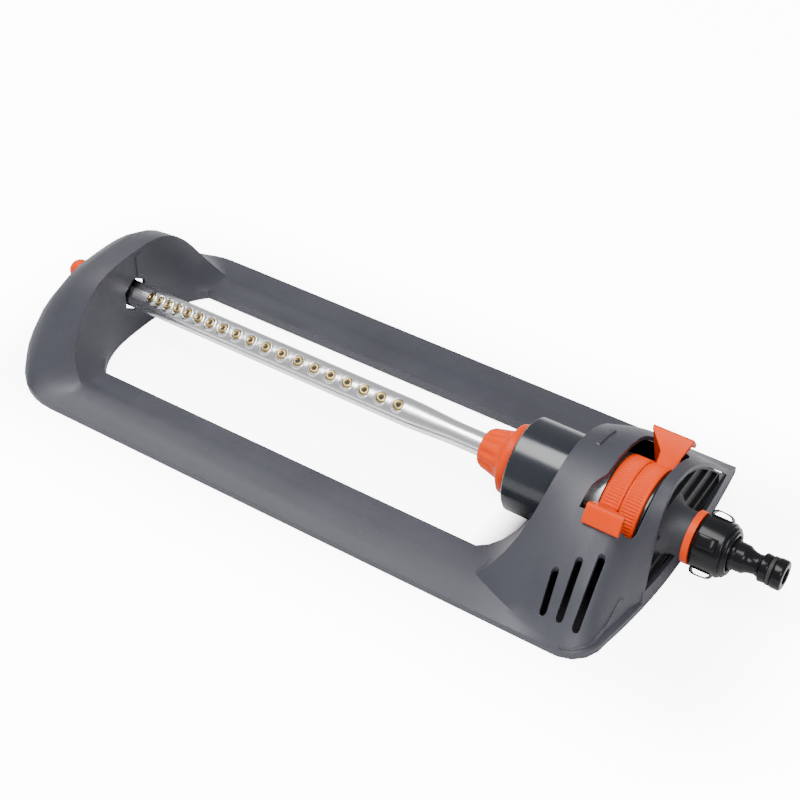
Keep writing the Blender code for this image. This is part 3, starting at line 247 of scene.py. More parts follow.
def start_group(name, inputs, outputs):
    """An empty node group with named number inputs, and outputs given as name and socket kind."""
    group = bpy.data.node_groups.new(name, "ShaderNodeTree")
    for label, value in inputs:
        socket = group.interface.new_socket(label, in_out="INPUT", socket_type="NodeSocketFloat")
        socket.default_value = value
    for label, kind in outputs:
        group.interface.new_socket(label, in_out="OUTPUT", socket_type="NodeSocket" + kind)
    return group, group.nodes.new("NodeGroupInput").outputs, group.nodes.new("NodeGroupOutput").inputs


def use_group(tree, group, **values):
    made = tree.nodes.new("ShaderNodeGroup")
    made.node_tree = group
    for label, value in values.items():
        made.inputs[label].default_value = value
    return made.outputs


# Moulded skin: the tool's grain as a bump, soft edges, and a slow drift in tone.
moulded_skin, given, put = start_group(
    "moulded skin",
    (("Grain", 1800), ("Depth", 0.05), ("Edge", 0.5)),
    (("Normal", "Vector"), ("Mottle", "Float")),
)
place = add_node(moulded_skin, "TexCoord").outputs["Object"]
grain = add_node(moulded_skin, "TexNoise", {"Vector": place, "Scale": given["Grain"], "Detail": 4.0})
edge = reckon(moulded_skin, "MULTIPLY", given["Edge"], MM)
soft = add_node(moulded_skin, "Bevel", {"Radius": edge}, samples=4)
depth = reckon(moulded_skin, "MULTIPLY", given["Depth"], MM)
relief = {"Height": grain.outputs["Fac"], "Distance": depth, "Normal": soft.outputs["Normal"]}
bump = add_node(moulded_skin, "Bump", relief)
drift = add_node(moulded_skin, "TexNoise", {"Vector": place, "Scale": DRIFT_SCALE, "Detail": 3.0})
moulded_skin.links.new(bump.outputs["Normal"], put["Normal"])
moulded_skin.links.new(spread(moulded_skin, drift.outputs["Fac"], 0.3, 0.7), put["Mottle"])

# Dust: pale specks that lie on faces turned upwards, thicker in drifts.
dust, given, put = start_group("dust", (("Amount", 0.5),), (("Mask", "Float"),))
place = add_node(dust, "TexCoord").outputs["Object"]
drifts = add_node(dust, "TexNoise", {"Vector": place, "Scale": DUST_DRIFTS, "Detail": 4.0})
specks = add_node(dust, "TexVoronoi", {"Vector": place, "Scale": DUST_SPECKS, "Randomness": 1.0})
speck = spread(dust, specks.outputs["Distance"], 0.0, SPECK_SIZE, 1.0, 0.0)
patch = spread(dust, drifts.outputs["Fac"], 0.5, 0.75)
facing = add_node(dust, "SeparateXYZ", {0: add_node(dust, "NewGeometry").outputs["Normal"]})
up = spread(dust, facing.outputs["Z"], 0.2, 0.9)
lying = reckon(dust, "MULTIPLY", reckon(dust, "MULTIPLY", speck, patch), up)
dust.links.new(reckon(dust, "MULTIPLY", lying, given["Amount"]), put["Mask"])

# Scuffs: hair-fine scratches that handling leaves, in patches.
scuffs, given, put = start_group("scuffs", (("Amount", 0.5), ("Scale", 60)), (("Mask", "Float"),))
place = add_node(scuffs, "TexCoord").outputs["Object"]
bent = add_node(scuffs, "TexNoise", {"Vector": place, "Scale": SCUFF_BENDS, "Detail": 2.0})
wander = add_node(scuffs, "VectorMath", {0: place, 1: bent.outputs["Color"]}, operation="ADD")
hair_places = {"Vector": wander.outputs[0], "Scale": given["Scale"]}
hairs = add_node(scuffs, "TexVoronoi", hair_places, feature="DISTANCE_TO_EDGE")
hair = spread(scuffs, hairs.outputs["Distance"], 0.0, SCUFF_WIDTH, 1.0, 0.0)
where = add_node(scuffs, "TexNoise", {"Vector": place, "Scale": SCUFF_PATCHES, "Detail": 1.0})
patch = spread(scuffs, where.outputs["Fac"], 0.55, 0.7)
both = reckon(scuffs, "MULTIPLY", hair, patch)
scuffs.links.new(reckon(scuffs, "MULTIPLY", both, given["Amount"]), put["Mask"])


def moulded_plastic(name, deep, pale, rough, grain=1800, depth=0.05, edge=0.5, dusty=0.5, scuffed=0.3):
    """Moulded plastic: two close tones, the tool's grain, a little dust and a few scuffs."""
    made, tree, shader = new_material(name)
    skin = use_group(tree, moulded_skin, Grain=grain, Depth=depth, Edge=edge)
    specks = use_group(tree, dust, Amount=dusty)
    hairs = use_group(tree, scuffs, Amount=scuffed)
    scuff_tone = [min(value * SCUFF_PALER + SCUFF_LIFT, 1) for value in pale]
    tone = mix_colours(tree, skin["Mottle"], deep, pale)
    tone = mix_colours(tree, hairs["Mask"], tone, scuff_tone)
    tone = mix_colours(tree, specks["Mask"], tone, DUST_TONE)
    join(tree, tone, shader, "Base Color")
    sheen = spread(tree, skin["Mottle"], 0.0, 1.0, rough - 0.04, rough + 0.05)
    worn = reckon(tree, "MULTIPLY_ADD", hairs["Mask"], SCUFF_ROUGHER, sheen)
    join(tree, worn, shader, "Roughness")
    join(tree, skin["Normal"], shader, "Normal")
    return made


def add_piece(name, shape, material, body, replaces=(), sharp=40):
    """Makes one piece of the object from a mesh, shades it and puts it on its body."""
    bmesh.ops.recalc_face_normals(shape, faces=shape.faces)
    mesh = bpy.data.meshes.new(name)
    shape.to_mesh(mesh)
    shape.free()
    mesh.shade_smooth()
    mesh.set_sharp_from_angle(angle=math.radians(sharp))
    mesh.materials.append(material)
    made = link(bpy.data.objects.new(name, mesh))
    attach(made, body)
    if replaces:
        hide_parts(*replaces)
    return made


# Joined skin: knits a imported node's loose facets together and shades them smooth up to an edge.
joined_skin = bpy.data.node_groups.new("joined skin", "GeometryNodeTree")
joined_skin.interface.new_socket("Geometry", in_out="INPUT", socket_type="NodeSocketGeometry")
joined_skin.interface.new_socket("Geometry", in_out="OUTPUT", socket_type="NodeSocketGeometry")
given = joined_skin.nodes.new("NodeGroupInput").outputs
put = joined_skin.nodes.new("NodeGroupOutput").inputs
knit = joined_skin.nodes.new("GeometryNodeMergeByDistance")
knit.inputs["Distance"].default_value = KNIT_REACH
bend = joined_skin.nodes.new("GeometryNodeInputMeshEdgeAngle")
crisp = joined_skin.nodes.new("FunctionNodeCompare")
crisp.inputs["B"].default_value = EDGE_ANGLE
shade = joined_skin.nodes.new("GeometryNodeSetMeshNormal")
shade.mode = "SHARPNESS"
joined_skin.links.new(given["Geometry"], knit.inputs["Geometry"])
joined_skin.links.new(knit.outputs["Geometry"], shade.inputs["Mesh"])
joined_skin.links.new(bend.outputs["Unsigned Angle"], crisp.inputs["A"])
joined_skin.links.new(crisp.outputs["Result"], shade.inputs["Edge Sharpness"])
joined_skin.links.new(shade.outputs["Mesh"], put["Geometry"])


def dress(material, *names):
    """Gives carried-over CAD nodes a knitted, smoothly shaded skin and their finish."""
    for name in names:
        nodes[name].modifiers.new("joined skin", "NODES").node_group = joined_skin
        for slot in nodes[name].material_slots:
            slot.material = material


frame_plastic = moulded_plastic("frame_plastic", FRAME_GREY, FRAME_PALE, 0.46, scuffed=0.25)
dress(frame_plastic, "frame")

# Raised forms of the frame: each lies between two lines of points, in millimetres.
BAND_STATIONS = (0, 0.1, 0.3, 0.5, 0.7, 0.9, 1)
BAND_TUCK = 0.1 * MM
BAND_SINK = 0.5 * MM
CORNER_LIP = (
    (
        (166, -89, 5.2),
        (172, -87.2, 6),
        (177.8, -81.2, 7),
        (180.1, -75.6, 7.4),
        (181.4, -63, 10),
        (181.4, -56, 13.6),
        (181.6, -49.5, 17.4),
    ),
    (
        (166, -89.3, 4.6),
        (172.6, -87.4, 5),
        (178.6, -81.8, 5.6),
        (181.4, -76, 5.6),
        (181.8, -63.6, 7.8),
        (182, -56, 10.8),
        (182, -48, 14.4),
    ),
)
LIP_RISE = 0.7 * MM
LIP_ROWS = 48
ARCH_RIB = (((-195.8, 2.5, 59), (-195.8, 2.5, 41)), ((-195.8, 8.5, 58), (-195.8, 8.5, 39)))
RIB_RISE = 1 * MM
HOOD_PAD = (((132.8, 23, 59), (133, 2, 63)), ((136.6, 23, 59), (136.2, 2, 63)))
PAD_RISE = 0.9 * MM
frame_mesh = nodes["frame"].data
frame_skin = BVHTree.FromPolygons(
    [vertex.co for vertex in frame_mesh.vertices], [face.vertices for face in frame_mesh.polygons]
)


def spaced(points, count):
    """Points at even steps along a line of corners, given in millimetres."""
    corners = [Vector(point) * MM for point in points]
    lengths = [(after - before).length for before, after in zip(corners, corners[1:])]
    found = []
    for step in range(count):
        left = sum(lengths) * step / (count - 1)
        index = 0
        while index < len(lengths) - 1 and left > lengths[index]:
            left -= lengths[index]
            index += 1
        found.append(corners[index].lerp(corners[index + 1], min(left / lengths[index], 1)))
    return found


def wrap(shape, rings):
    """Faces between each ring of points and the next."""
    for ring, beside in zip(rings, rings[1:]):
        for index, point in enumerate(ring):
            after = (index + 1) % len(ring)
            shape.faces.new((point, ring[after], beside[after], beside[index]))


def raise_band(name, sides, rise, rows=24):
    """A low raised band on the frame's skin between two lines, with its borders let in."""
    shape = bmesh.new()
    rings = []
    for number, (one, other) in enumerate(zip(spaced(sides[0], rows), spaced(sides[1], rows))):
        at_end = number in (0, rows - 1)
        ring = []
        for share in BAND_STATIONS:
            spot, facing = frame_skin.find_nearest(one.lerp(other, share))[:2]
            lift = -BAND_TUCK if share in (0, 1) or at_end else rise
            ring.append(shape.verts.new(spot + facing * lift))
        for share in (1, 0):
            spot, facing = frame_skin.find_nearest(one.lerp(other, share))[:2]
            ring.append(shape.verts.new(spot - facing * BAND_SINK))
        rings.append(ring)
    wrap(shape, rings)
    shape.faces.new(rings[0])
    shape.faces.new(rings[-1])
    add_piece(name, shape, frame_plastic, "frame_body", sharp=60)


raise_band("corner_lip", CORNER_LIP, LIP_RISE, LIP_ROWS)
raise_band("arch_rib", ARCH_RIB, RIB_RISE)
raise_band("hood_pad", HOOD_PAD, PAD_RISE)


# End grille. A separate insert clipped into the hood's right end, grey plastic painted darker as painted
# shade:
# thin ribs and a boss round the inlet, with the panel set back between the ribs painted nearly black as
# painted shade.
# Painted shade: the grille's two tones are darker than the frame's grey, for the shade in the hood's end.
GRILLE_SHADED_DEEP = (0.013, 0.0135, 0.018)
GRILLE_SHADED_PALE = (0.018, 0.0185, 0.024)
RECESS_PAINTED_SHADE = (0.0045, 0.0045, 0.006)
REAR_BOW = 0.676
WALL_LEAN = 0.1
WALL_INSET = 0.6 * MM
RECESS_STARTS = 0.7 * MM
RECESS_FULL = 1.5 * MM
BOSS_ZONE = 18 * MM
BOSS_FADE = 4 * MM
grille_plastic = moulded_plastic("grille_plastic", GRILLE_SHADED_DEEP, GRILLE_SHADED_PALE, 0.6, edge=0.4, dusty=0.2)
tree = grille_plastic.node_tree
shader = tree.nodes["Principled BSDF"]
plain = shader.inputs["Base Color"].links[0].from_socket
# Painted shade: the panel set back between the ribs is painted nearly black, fading in over the recess's
# depth and stopping short of the boss.
spot = add_node(tree, "SeparateXYZ", {0: add_node(tree, "TexCoord").outputs["Object"]}).outputs
drawn_in = spot["X"]
for side, bow in (("MINIMUM", HOOD_END_BOW), ("MAXIMUM", REAR_BOW)):
    half = reckon(tree, side, spot["Y"], 0.0)
    square = reckon(tree, "MULTIPLY", half, half)
    drawn_in = reckon(tree, "MULTIPLY_ADD", square, bow, drawn_in)
drawn_in = reckon(tree, "MULTIPLY_ADD", spot["Z"], WALL_LEAN, drawn_in)
wall_face = frame_high.x - WALL_INSET
deep = spread(tree, drawn_in, wall_face - RECESS_FULL, wall_face - RECESS_STARTS, 1.0, 0.0)
rise = reckon(tree, "SUBTRACT", spot["Z"], AXIS_Z)
flat_spot = add_node(tree, "CombineXYZ", {"Y": spot["Y"], "Z": rise}).outputs[0]
from_axis = add_node(tree, "VectorMath", {0: flat_spot}, operation="LENGTH").outputs["Value"]
beyond = spread(tree, from_axis, BOSS_ZONE, BOSS_ZONE + BOSS_FADE)
recess_painted_shade = reckon(tree, "MULTIPLY", deep, beyond)
join(tree, mix_colours(tree, recess_painted_shade, plain, RECESS_PAINTED_SHADE), shader, "Base Color")
dress(grille_plastic, "end_grille")


# Motor casing. A round housing moulded in smooth dark plastic, closed by a cover whose neck carries
# the range rings. A bright metal dial band sits on the cover beside them, and a dark keeper ring
# holds them on.
CASING_DEEP = (0.010, 0.013, 0.017)
CASING_PALE = (0.014, 0.017, 0.022)
BAND_BRIGHT = (0.78, 0.79, 0.8)
BAND_DULL = (0.6, 0.61, 0.63)
CLOUD_SCALE = 60.0
CLOUD_ROUGHER = 0.08
casing_plastic = moulded_plastic(
    "casing_plastic", CASING_DEEP, CASING_PALE, 0.2, depth=0.01, edge=0.9, dusty=0.2, scuffed=0.12
)
dress(casing_plastic, "motor_housing", "motor_cover", "ring_keeper")

# Drawn lines: fine marks along X, as a die or a polishing belt leaves them on metal.
drawn_lines, given, put = start_group(
    "drawn lines",
    (("Lines", 600), ("Length", 6), ("Depth", 0.002)),
    (("Normal", "Vector"), ("Line", "Float"), ("Cloud", "Float")),
)
place = add_node(drawn_lines, "TexCoord").outputs["Object"]
scale = add_node(drawn_lines, "CombineXYZ", {"X": given["Length"], "Y": given["Lines"], "Z": given["Lines"]})
stretched = add_node(drawn_lines, "VectorMath", {0: place, 1: scale.outputs[0]}, operation="MULTIPLY")
lines = add_node(drawn_lines, "TexNoise", {"Vector": stretched.outputs[0], "Scale": 1.0, "Detail": 3.0})
depth = reckon(drawn_lines, "MULTIPLY", given["Depth"], MM)
bump = add_node(drawn_lines, "Bump", {"Height": lines.outputs["Fac"], "Distance": depth})
cloud = add_node(drawn_lines, "TexNoise", {"Vector": place, "Scale": CLOUD_SCALE, "Detail": 3.0})
drawn_lines.links.new(bump.outputs["Normal"], put["Normal"])
drawn_lines.links.new(spread(drawn_lines, lines.outputs["Fac"], 0.35, 0.65), put["Line"])
drawn_lines.links.new(spread(drawn_lines, cloud.outputs["Fac"], 0.35, 0.7), put["Cloud"])


def bare_metal(name, bright, dull, rough, lines=600, length=6, depth=0.002):
    """Bare metal with fine drawn lines and a faint cloudy film."""
    made, tree, shader = new_material(name)
    marks = use_group(tree, drawn_lines, Lines=lines, Length=length, Depth=depth)
    join(tree, mix_colours(tree, marks["Cloud"], bright, dull), shader, "Base Color")
    sheen = spread(tree, marks["Line"], 0.0, 1.0, rough - 0.04, rough + 0.06)
    haze = reckon(tree, "MULTIPLY_ADD", marks["Cloud"], CLOUD_ROUGHER, sheen)
    join(tree, haze, shader, "Roughness")
    join(tree, marks["Normal"], shader, "Normal")
    shader.inputs["Metallic"].default_value = 1
    return made


band_metal = bare_metal("band_metal", BAND_BRIGHT, BAND_DULL, 0.34)
dress(band_metal, "dial_band")


# Drive. Natural gear plastic for the planet gears, ring gear, carrier, plates and lever, a brass
# sun gear and rotor on one shaft, and moulded rubber seals. All of it sits inside the casing.
GEAR_DEEP = (0.62, 0.6, 0.54)
GEAR_PALE = (0.72, 0.71, 0.66)
RUBBER_DEEP = (0.01, 0.01, 0.01)
RUBBER_PALE = (0.018, 0.018, 0.018)
BRASS_BRIGHT = (0.46, 0.34, 0.15)
BRASS_DULL = (0.3, 0.22, 0.09)
STEEL_BRIGHT = (0.56, 0.56, 0.57)
STEEL_DULL = (0.38, 0.38, 0.39)
gear_plastic = moulded_plastic("gear_plastic", GEAR_DEEP, GEAR_PALE, 0.4, edge=0.2, dusty=0, scuffed=0.1)
rubber = moulded_plastic("rubber", RUBBER_DEEP, RUBBER_PALE, 0.68, grain=2600, edge=0.2, scuffed=0)
brass = bare_metal("brass", BRASS_BRIGHT, BRASS_DULL, 0.28, lines=1500, length=1500, depth=0.01)
steel = bare_metal("steel", STEEL_BRIGHT, STEEL_DULL, 0.3)
dress(gear_plastic, "output_carrier", "planet_gear_1", "planet_gear_2", "planet_gear_3", "ring_gear")
dress(gear_plastic, "gear_plate", "jet_plate", "reversing_lever", "end_bush")
dress(rubber, "output_seal", "sleeve_seal", "end_plug_seal", "inlet_washer", "nipple_seal")
dress(brass, "turbine")
dress(steel, "lever_pin", "motor_screw_1", "motor_screw_2", "inlet_filter")


# Range rings. Two glossy orange rings that limit the swing, moulded with fine ribs between plain
# borders. They are slipped onto the cover's neck side by side, where the keeper ring holds them.
RING_RIBS = 96
STEPS_PER_RIB = 8
RIB_DEPTH = 0.6 * MM
RIB_FADE = 0.4 * MM
RIB_POWER = 1.6
RING_BORDERS = ((2.4 * MM, 1.2 * MM), (1.2 * MM, 1.8 * MM))
RING_GAP = 0.3 * MM
RING_WALL = 4.4 * MM
RING_EDGE = 0.5 * MM
RING_CORNER = 0.15 * MM
ORANGE_DEEP = (0.64, 0.042, 0.0)
ORANGE_PALE = (0.72, 0.054, 0.0)
orange_plastic = moulded_plastic(
    "orange_plastic", ORANGE_DEEP, ORANGE_PALE, 0.34, depth=0.01, edge=0.05, dusty=0.15, scuffed=0.1
)
orange_plastic.node_tree.nodes["Principled BSDF"].inputs["Specular IOR Level"].default_value = 0.1
ring_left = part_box("range_ring_left")[0].x
keeper_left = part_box("ring_keeper")[0].x
ring_width = (keeper_left - ring_left) / 2 - RING_GAP
left_radius = AXIS_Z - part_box("range_ring_left")[0].z


def turn_outline(outline, steps=72, wave=None):
    """Turns a closed (x, radius) outline about the tube's axis; wave may change the radius."""
    shape = bmesh.new()
    rings = []
    for step in range(steps):
        angle = math.tau * step / steps
        ring = []
        for x, radius in outline:
            if wave:
                radius = wave(x, radius, angle)
            place = (x, -radius * math.sin(angle), AXIS_Z + radius * math.cos(angle))
            ring.append(shape.verts.new(place))
        rings.append(ring)
    count = len(outline)
    for step, ring in enumerate(rings):
        beside = rings[(step + 1) % steps]
        for point in range(count):
            after = (point + 1) % count
            if outline[point][1] + outline[after][1] > 0:
                shape.faces.new((ring[point], ring[after], beside[after], beside[point]))
    bmesh.ops.remove_doubles(shape, verts=shape.verts, dist=0.002 * MM)
    return shape


def ribbed(left, right, borders):
    """The ribs of a ring as a change of radius, with narrow grooves between plain borders."""

    def wave(x, radius, angle):
        edge = min(x - left - borders[0], right - borders[1] - x)
        if radius < left_radius - RING_WALL / 2 or edge <= 0:
            return radius
        groove = ((1 - math.cos(RING_RIBS * angle)) / 2) ** RIB_POWER
        return radius - RIB_DEPTH * min(edge / RIB_FADE, 1) * groove

    return wave


range_rings = (("range_ring_left", "ring_left_body"), ("range_ring_right", "ring_right_body"))
for number, (name, body) in enumerate(range_rings):
    left = ring_left + number * (ring_width + RING_GAP)
    right = left + ring_width
    radius = AXIS_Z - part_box(name)[0].z
    borders = RING_BORDERS[number]
    outline = [
        (left, radius - RING_WALL),
        (left, radius - RING_EDGE),
        (left + RING_CORNER, radius - RING_CORNER),
        (left + RING_EDGE, radius),
        (left + borders[0], radius),
        (left + borders[0] + RIB_FADE, radius),
        (right - borders[1] - RIB_FADE, radius),
        (right - borders[1], radius),
        (right - RING_EDGE, radius),
        (right - RING_CORNER, radius - RING_CORNER),
        (right, radius - RING_EDGE),
        (right, radius - RING_WALL),
    ]
    ring = turn_outline(outline, RING_RIBS * STEPS_PER_RIB, ribbed(left, right, borders))
    add_piece(name + "_knurled", ring, orange_plastic, body, (name,), 60)


# Finger wings. One is moulded in orange onto each range ring: a plate that stands out from the
# ring, flares along the tube towards its tip and is turned over there, for a finger to push.
WING_REACH = 48.5 * MM
WING_WALL = 2.8 * MM
WING_FOOT = 26.5 * MM
WING_SPREAD = 22 * MM
WING_COLUMNS = 6
WING_EDGE = 0.5 * MM
FLARE_FROM = 37.5 * MM
FRONT_WING_ANGLE = math.radians(50)
FRONT_WING_HOOK = math.radians(14.5)
REAR_WING_ANGLE = math.radians(-48)
REAR_WING_HOOK = math.radians(-11.5)
REAR_WING_LAP = 3 * MM


def wing_shape(angle, hook, ends_at):
    """A wing's plate as a closed outline of (radius, turn) points, drawn out between its two ends."""
    inner = WING_REACH - WING_WALL
    half_way = WING_FOOT + 0.5 * (inner - WING_FOOT)
    profile = [
        (WING_FOOT, 0),
        (half_way, 0),
        (WING_REACH - WING_WALL * 0.6, 0),
        (WING_REACH - WING_WALL * 0.2, hook * 0.04),
        (WING_REACH, hook * 0.12),
        *((WING_REACH, hook * share) for share in (0.3, 0.5, 0.7, 0.88)),
        (WING_REACH - WING_WALL * 0.15, hook * 0.97),
        (WING_REACH - WING_WALL * 0.45, hook),
        (WING_REACH - WING_WALL * 0.8, hook * 0.97),
        *((inner, hook * share) for share in (0.88, 0.7, 0.5)),
        (inner - WING_WALL * 0.2, hook * 0.4),
        (half_way, hook * 0.3),
        (WING_FOOT, hook * 0.34),
    ]
    shape = bmesh.new()
    rows = []
    for radius, offset in profile:
        low, high = ends_at(radius)
        turn = angle + offset
        row = []
        for step in range(WING_COLUMNS + 1):
            x = low + (high - low) * step / WING_COLUMNS
            row.append(shape.verts.new((x, -radius * math.sin(turn), AXIS_Z + radius * math.cos(turn))))
        rows.append(row)
    for row, beside in zip(rows, rows[1:] + rows[:1]):
        for step in range(WING_COLUMNS):
            shape.faces.new((row[step], row[step + 1], beside[step + 1], beside[step]))
    shape.faces.new([row[0] for row in rows])
    shape.faces.new([row[-1] for row in rows])
    return shape


def flare(radius):
    """How far the wing has flared at a radius, from none to all."""
    share = (radius - FLARE_FROM) / (WING_REACH - WING_WALL - FLARE_FROM)
    return min(max(share, 0), 1)


def front_ends(radius):
    return ring_left, ring_left + ring_width + (WING_SPREAD - ring_width) * flare(radius)


def rear_ends(radius):
    right = ring_left + 2 * ring_width + RING_GAP
    left = right - ring_width
    return left - (WING_SPREAD - ring_width) * flare(radius), right + REAR_WING_LAP * flare(radius)


def soften(piece):
    """Rounds a wing's sharp edges as the mould does."""
    bevel = piece.modifiers.new("soft edges", "BEVEL")
    bevel.width = WING_EDGE
    bevel.segments = 3
    bevel.limit_method = "ANGLE"
    bevel.angle_limit = math.radians(40)


wing = wing_shape(FRONT_WING_ANGLE, FRONT_WING_HOOK, front_ends)
soften(add_piece("wing_front", wing, orange_plastic, "ring_left_body"))
wing = wing_shape(REAR_WING_ANGLE, REAR_WING_HOOK, rear_ends)
soften(add_piece("wing_rear", wing, orange_plastic, "ring_right_body"))


# Tube sleeve. An orange moulding that grips the spray tube and the drive's hub: a fluted cone for
# the fingers, flaring into a smooth flange beside the casing.
FLUTES = 12
STEPS_PER_FLUTE = 12
FLUTE_DEPTH = 1.1 * MM
FLUTE_START = 4 * MM
FLUTE_RUN_OUT = 3.5 * MM
CONE_TIP = 12 * MM
CONE_ROOT = 15.2 * MM
CONE_LEAD = 2 * MM
CONE_STEPS = 12
FLANGE_LENGTH = 10.4 * MM
BORE_ROOM = 0.3 * MM
SEAL_ROOM = 0.3 * MM
HUB_STEP = 2.7 * MM
sleeve_low, sleeve_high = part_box("tube_sleeve")
sleeve_left, sleeve_right = sleeve_low.x, sleeve_high.x
flange_left = sleeve_right - FLANGE_LENGTH
flange_radius = (sleeve_high.y - sleeve_low.y) / 2
tube_low, tube_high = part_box("spray_tube")
tube_radius = (tube_high.y - tube_low.y) / 2
sleeve_bore = tube_radius + BORE_ROOM
hub_bore = -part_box("output_seal")[0].y - HUB_STEP
seal_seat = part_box("sleeve_seal")[1].x + SEAL_ROOM
outline = [
    (sleeve_left, sleeve_bore),
    (sleeve_left, CONE_TIP - 2.6 * MM),
    (sleeve_left + 0.6 * MM, CONE_TIP - 1.2 * MM),
    (sleeve_left + CONE_LEAD, CONE_TIP),
]
for step in range(1, CONE_STEPS + 1):
    share = step / CONE_STEPS
    x = sleeve_left + CONE_LEAD + share * (flange_left - 2.4 * MM - sleeve_left)
    outline.append((x, CONE_TIP + (CONE_ROOT - CONE_TIP) * share))
outline += [
    (flange_left + 1.2 * MM, CONE_ROOT + 1.4 * MM),
    (flange_left + 2.6 * MM, flange_radius - 1.6 * MM),
    (flange_left + 3.6 * MM, flange_radius - 0.3 * MM),
    (flange_left + 4.4 * MM, flange_radius),
    (sleeve_right - 0.5 * MM, flange_radius),
    (sleeve_right, flange_radius - 0.5 * MM),
    (sleeve_right, hub_bore),
    (seal_seat, hub_bore),
    (seal_seat, sleeve_bore),
]


def fluted(x, radius, angle):
    """Scallops the cone; they fade out at its tip and before the flange."""
    if radius < CONE_TIP - 0.1 * MM or x > flange_left:
        return radius
    fade = min((x - sleeve_left) / FLUTE_START, (flange_left - x) / FLUTE_RUN_OUT, 1)
    scallop = abs(math.cos(FLUTES / 2 * angle)) ** 3
    return radius - FLUTE_DEPTH * fade * scallop


sleeve = turn_outline(outline, FLUTES * STEPS_PER_FLUTE, fluted)
add_piece("sleeve_fluted", sleeve, orange_plastic, "tube_body", ("tube_sleeve",), 50)


# Spray tube. Drawn aluminium tube, polished, and pressed a little flatter and wider along the jets.
# Each jet sits in a round dimple pressed into the wall and then pierced, so a bright ring shows
# round its brass.
ALUMINIUM_BRIGHT = (0.9, 0.9, 0.91)
ALUMINIUM_DULL = (0.78, 0.78, 0.8)
TUBE_WALL = 1 * MM
TUBE_STEPS = 60
TUBE_EDGE = 0.3 * MM
JET_COUNT = 19
ROW_TILT = math.radians(29)
PRESSED_WIDER = 1.22
PRESSED_RUN = 40 * MM
CORNER_STEPS = 3
tube_metal = bare_metal("tube_metal", ALUMINIUM_BRIGHT, ALUMINIUM_DULL, 0.2)
jets_right = max(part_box(name)[1].x for name in ("nozzle_01", f"nozzle_{JET_COUNT:02d}"))


def round_corners(outline, radius):
    """Rounds the corners of a closed (x, radius) outline; points on the axis stay as they are."""
    rounded = []
    count = len(outline)
    for index, corner in enumerate(outline):
        here = Vector(corner)
        before = Vector(outline[index - 1]) - here
        after = Vector(outline[(index + 1) % count]) - here
        reach = min(radius, before.length * 0.45, after.length * 0.45)
        if here.y <= 0 or reach < 0.01 * MM:
            rounded.append(tuple(here))
            continue
        start = here + before.normalized() * reach
        end = here + after.normalized() * reach
        for step in range(CORNER_STEPS + 1):
            share = step / CORNER_STEPS
            point = (1 - share) ** 2 * start + 2 * share * (1 - share) * here + share**2 * end
            rounded.append(tuple(point))
    return rounded


def pressed(x, radius, angle):
    """Widens the tube across the jets, where it is pressed flatter, and lets it run out round."""
    share = min(max((jets_right + PRESSED_RUN - x) / PRESSED_RUN, 0), 1)
    wider = 1 + (PRESSED_WIDER - 1) * share * share * (3 - 2 * share)
    turn = angle - ROW_TILT
    return radius / math.hypot(math.cos(turn), math.sin(turn) / wider)


tube_length = tube_high.x - tube_low.x
outline = [
    (tube_low.x, tube_radius - TUBE_WALL),
    (tube_low.x, tube_radius),
    *((tube_low.x + tube_length * step / TUBE_STEPS, tube_radius) for step in range(1, TUBE_STEPS)),
    (tube_high.x, tube_radius),
    (tube_high.x, tube_radius - TUBE_WALL),
]
tube = turn_outline(round_corners(outline, TUBE_EDGE), 96, pressed)
add_piece("tube_drawn", tube, tube_metal, "tube_body", ("spray_tube",))


# Jets. Nineteen nozzles of turned brass, domed, with a fine bore, each pressed into a bright dimple
# of the tube. They lean apart along the row, to fan the water out. The rubber seat behind each one
# shows as the dark throat of its bore.
JET_RADIUS = 3.2 * MM
JET_BORE = 0.8 * MM
JET_STAND = 1.1 * MM
JET_FOOT = 3.6 * MM
DIMPLE_RADIUS = 5.1 * MM
DIMPLE_HEIGHT = 0.55 * MM
DIMPLE_FOOT = 1.6 * MM
DIMPLE_ROOM = 0.15 * MM
THROAT_FOOT = 2.4 * MM
THROAT_CORE = 0.05 * MM
FAN_MIDDLE_X = -85 * MM
FAN_PER_METRE = math.radians(200)
row_turn = Matrix.Rotation(ROW_TILT, 3, "X")
row_up = row_turn @ Vector((0, 0, 1))
dimple = [
    (-DIMPLE_FOOT, DIMPLE_RADIUS - 0.6 * MM),
    (-0.9 * MM, DIMPLE_RADIUS),
    (0.0, DIMPLE_RADIUS - 0.2 * MM),
    (DIMPLE_HEIGHT * 0.8, DIMPLE_RADIUS - 0.7 * MM),
    (DIMPLE_HEIGHT, DIMPLE_RADIUS - 1.1 * MM),
    (DIMPLE_HEIGHT * 0.4, JET_RADIUS + DIMPLE_ROOM),
    (-DIMPLE_FOOT, JET_RADIUS + DIMPLE_ROOM),
]
jet = [
    (-JET_FOOT, JET_BORE),
    (-JET_FOOT, JET_RADIUS - 0.6 * MM),
    (-0.2 * MM, JET_RADIUS),
    (JET_STAND * 0.55, JET_RADIUS),
    (JET_STAND * 0.85, JET_RADIUS - 0.35 * MM),
    (JET_STAND, JET_RADIUS - 0.9 * MM),
    (JET_STAND, JET_BORE * 2.4),
    (JET_STAND * 0.7, JET_BORE * 1.7),
    (JET_STAND * 0.2, JET_BORE),
]
throat = [
    (-THROAT_FOOT, THROAT_CORE),
    (-THROAT_FOOT, JET_BORE - THROAT_CORE),
    (JET_STAND * 0.5, JET_BORE + 0.1 * MM),
    (JET_STAND * 0.4, THROAT_CORE),
]


def fan(x, size):
    """The turn by which a jet at x leans along the row, as a matrix of three or four rows."""
    return Matrix.Rotation(FAN_PER_METRE * (x - FAN_MIDDLE_X), size, "Y")


